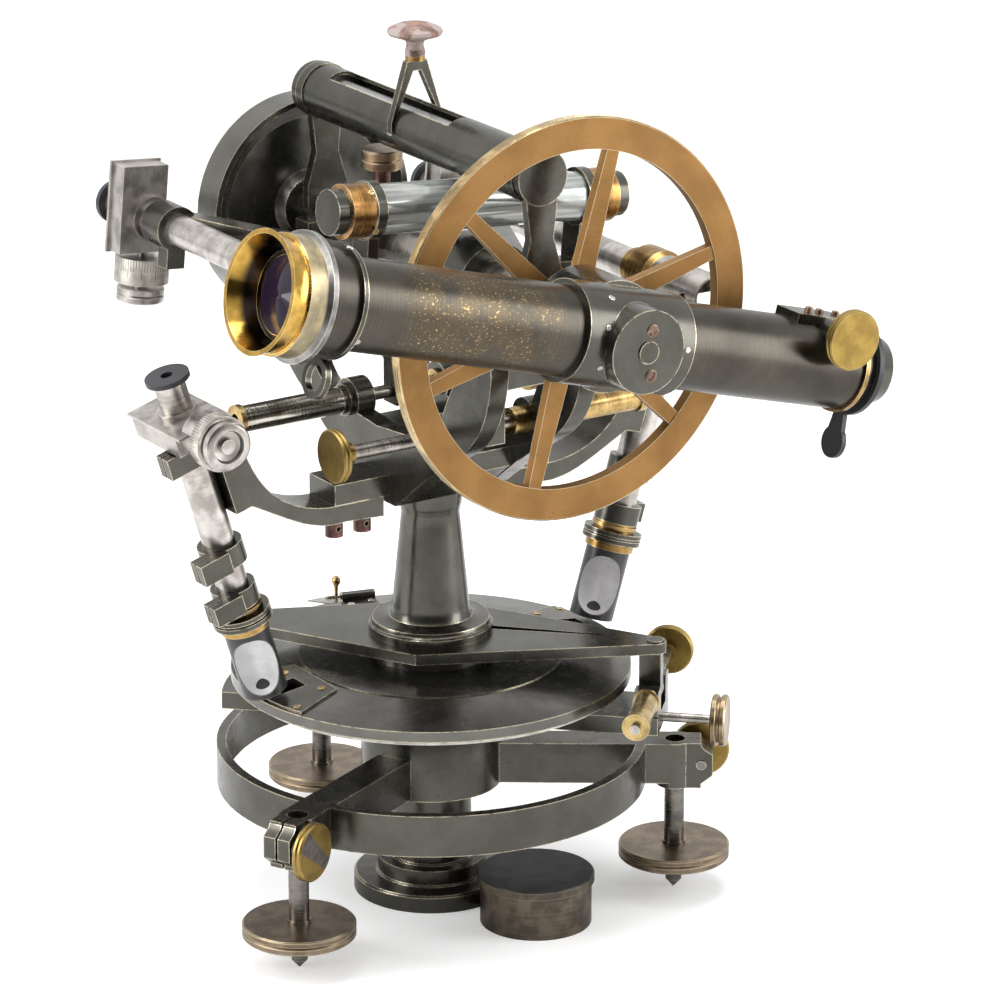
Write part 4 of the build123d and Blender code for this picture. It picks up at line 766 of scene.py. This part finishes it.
# Studio round the object: white where the camera sees it, with a dark side in front for what is shiny
world = bpy.data.worlds.new("studio")
world.use_nodes = True
bpy.context.scene.world = world
FRONT = unit((-0.5175, -0.7935, 0.0))


class Sky(Finish):
    """The studio: its direction is worked out in the same way as a place."""

    def __init__(self):
        self.tree = world.node_tree
        self.place = self.node("ShaderNodeTexCoord", out="Generated")

    def ray(self, kind):
        return self.node("ShaderNodeLightPath", out=f"Is {kind} Ray")


room = Sky()
toward = room.vector("DOT_PRODUCT", room.place, tuple(FRONT), out=1)
height = room.vector("DOT_PRODUCT", room.place, (0, 0, 1), out=1)
mirrored = 1.0 - room.step(toward, 0.15, 0.75) * room.step(height, 0.75, 0.35) * 0.93
seen, shiny = room.ray("Camera"), room.maths("MAXIMUM", room.ray("Glossy"), room.ray("Transmission"))
sky = world.node_tree.nodes["Background"]
room.feed(sky.inputs["Color"], (1.0, 1.0, 1.0))
room.feed(sky.inputs["Strength"], seen + (1.0 - seen) * (shiny * mirrored + (1.0 - shiny) * 0.55))


# Lamps and camera
def placed(x, y, z, place):
    """The matrix of an object with these axes at this place."""
    return Matrix([[x[i], y[i], z[i], place[i]] for i in range(3)] + [[0, 0, 0, 1]])


def softbox(name, place, width, height, watts):
    """A large rectangular lamp at a place, facing the object's middle, in metres."""
    lamp = bpy.data.lights.new(name, "AREA")
    lamp.shape, lamp.size, lamp.size_y, lamp.energy = "RECTANGLE", width, height, watts
    holder = bpy.data.objects.new(name, lamp)
    bpy.context.scene.collection.objects.link(holder)
    z = unit(place - MIDDLE)
    x = unit(np.cross((0, 0, 1), z))
    holder.matrix_world = placed(x, np.cross(z, x), z, place)


MIDDLE = np.array((0, 0, 0.22))
VIEW_RIGHT = np.array((0.83759479, -0.54629202, 0))
VIEW_UP = np.array((0.17498575, 0.26829451, 0.94731095))
VIEW_BACK = -np.array((0.51750841, 0.79346272, -0.3203154))
VIEWPOINT = (-1.339160, -2.116338, 1.051589)
softbox("left_box", MIDDLE - 1.5 * VIEW_RIGHT + 0.5 * FRONT + (0, 0, 0.75), 1.0, 1.5, 26)
softbox("right_box", MIDDLE + 1.6 * VIEW_RIGHT + 0.3 * FRONT + (0, 0, 0.45), 0.8, 1.3, 16)
softbox("top_box", MIDDLE + (0.05, 0.1, 1.7), 1.5, 1.2, 26)

eye = bpy.data.cameras.new("camera")
eye.lens, eye.sensor_width, eye.sensor_fit = 192.48, 36.0, "HORIZONTAL"
eye.clip_start, eye.clip_end = 0.05, 50
camera = bpy.data.objects.new("camera", eye)
bpy.context.scene.collection.objects.link(camera)
camera.matrix_world = placed(VIEW_RIGHT, VIEW_UP, VIEW_BACK, VIEWPOINT)
bpy.context.scene.camera = camera
bpy.context.scene.view_settings.view_transform = "Standard"
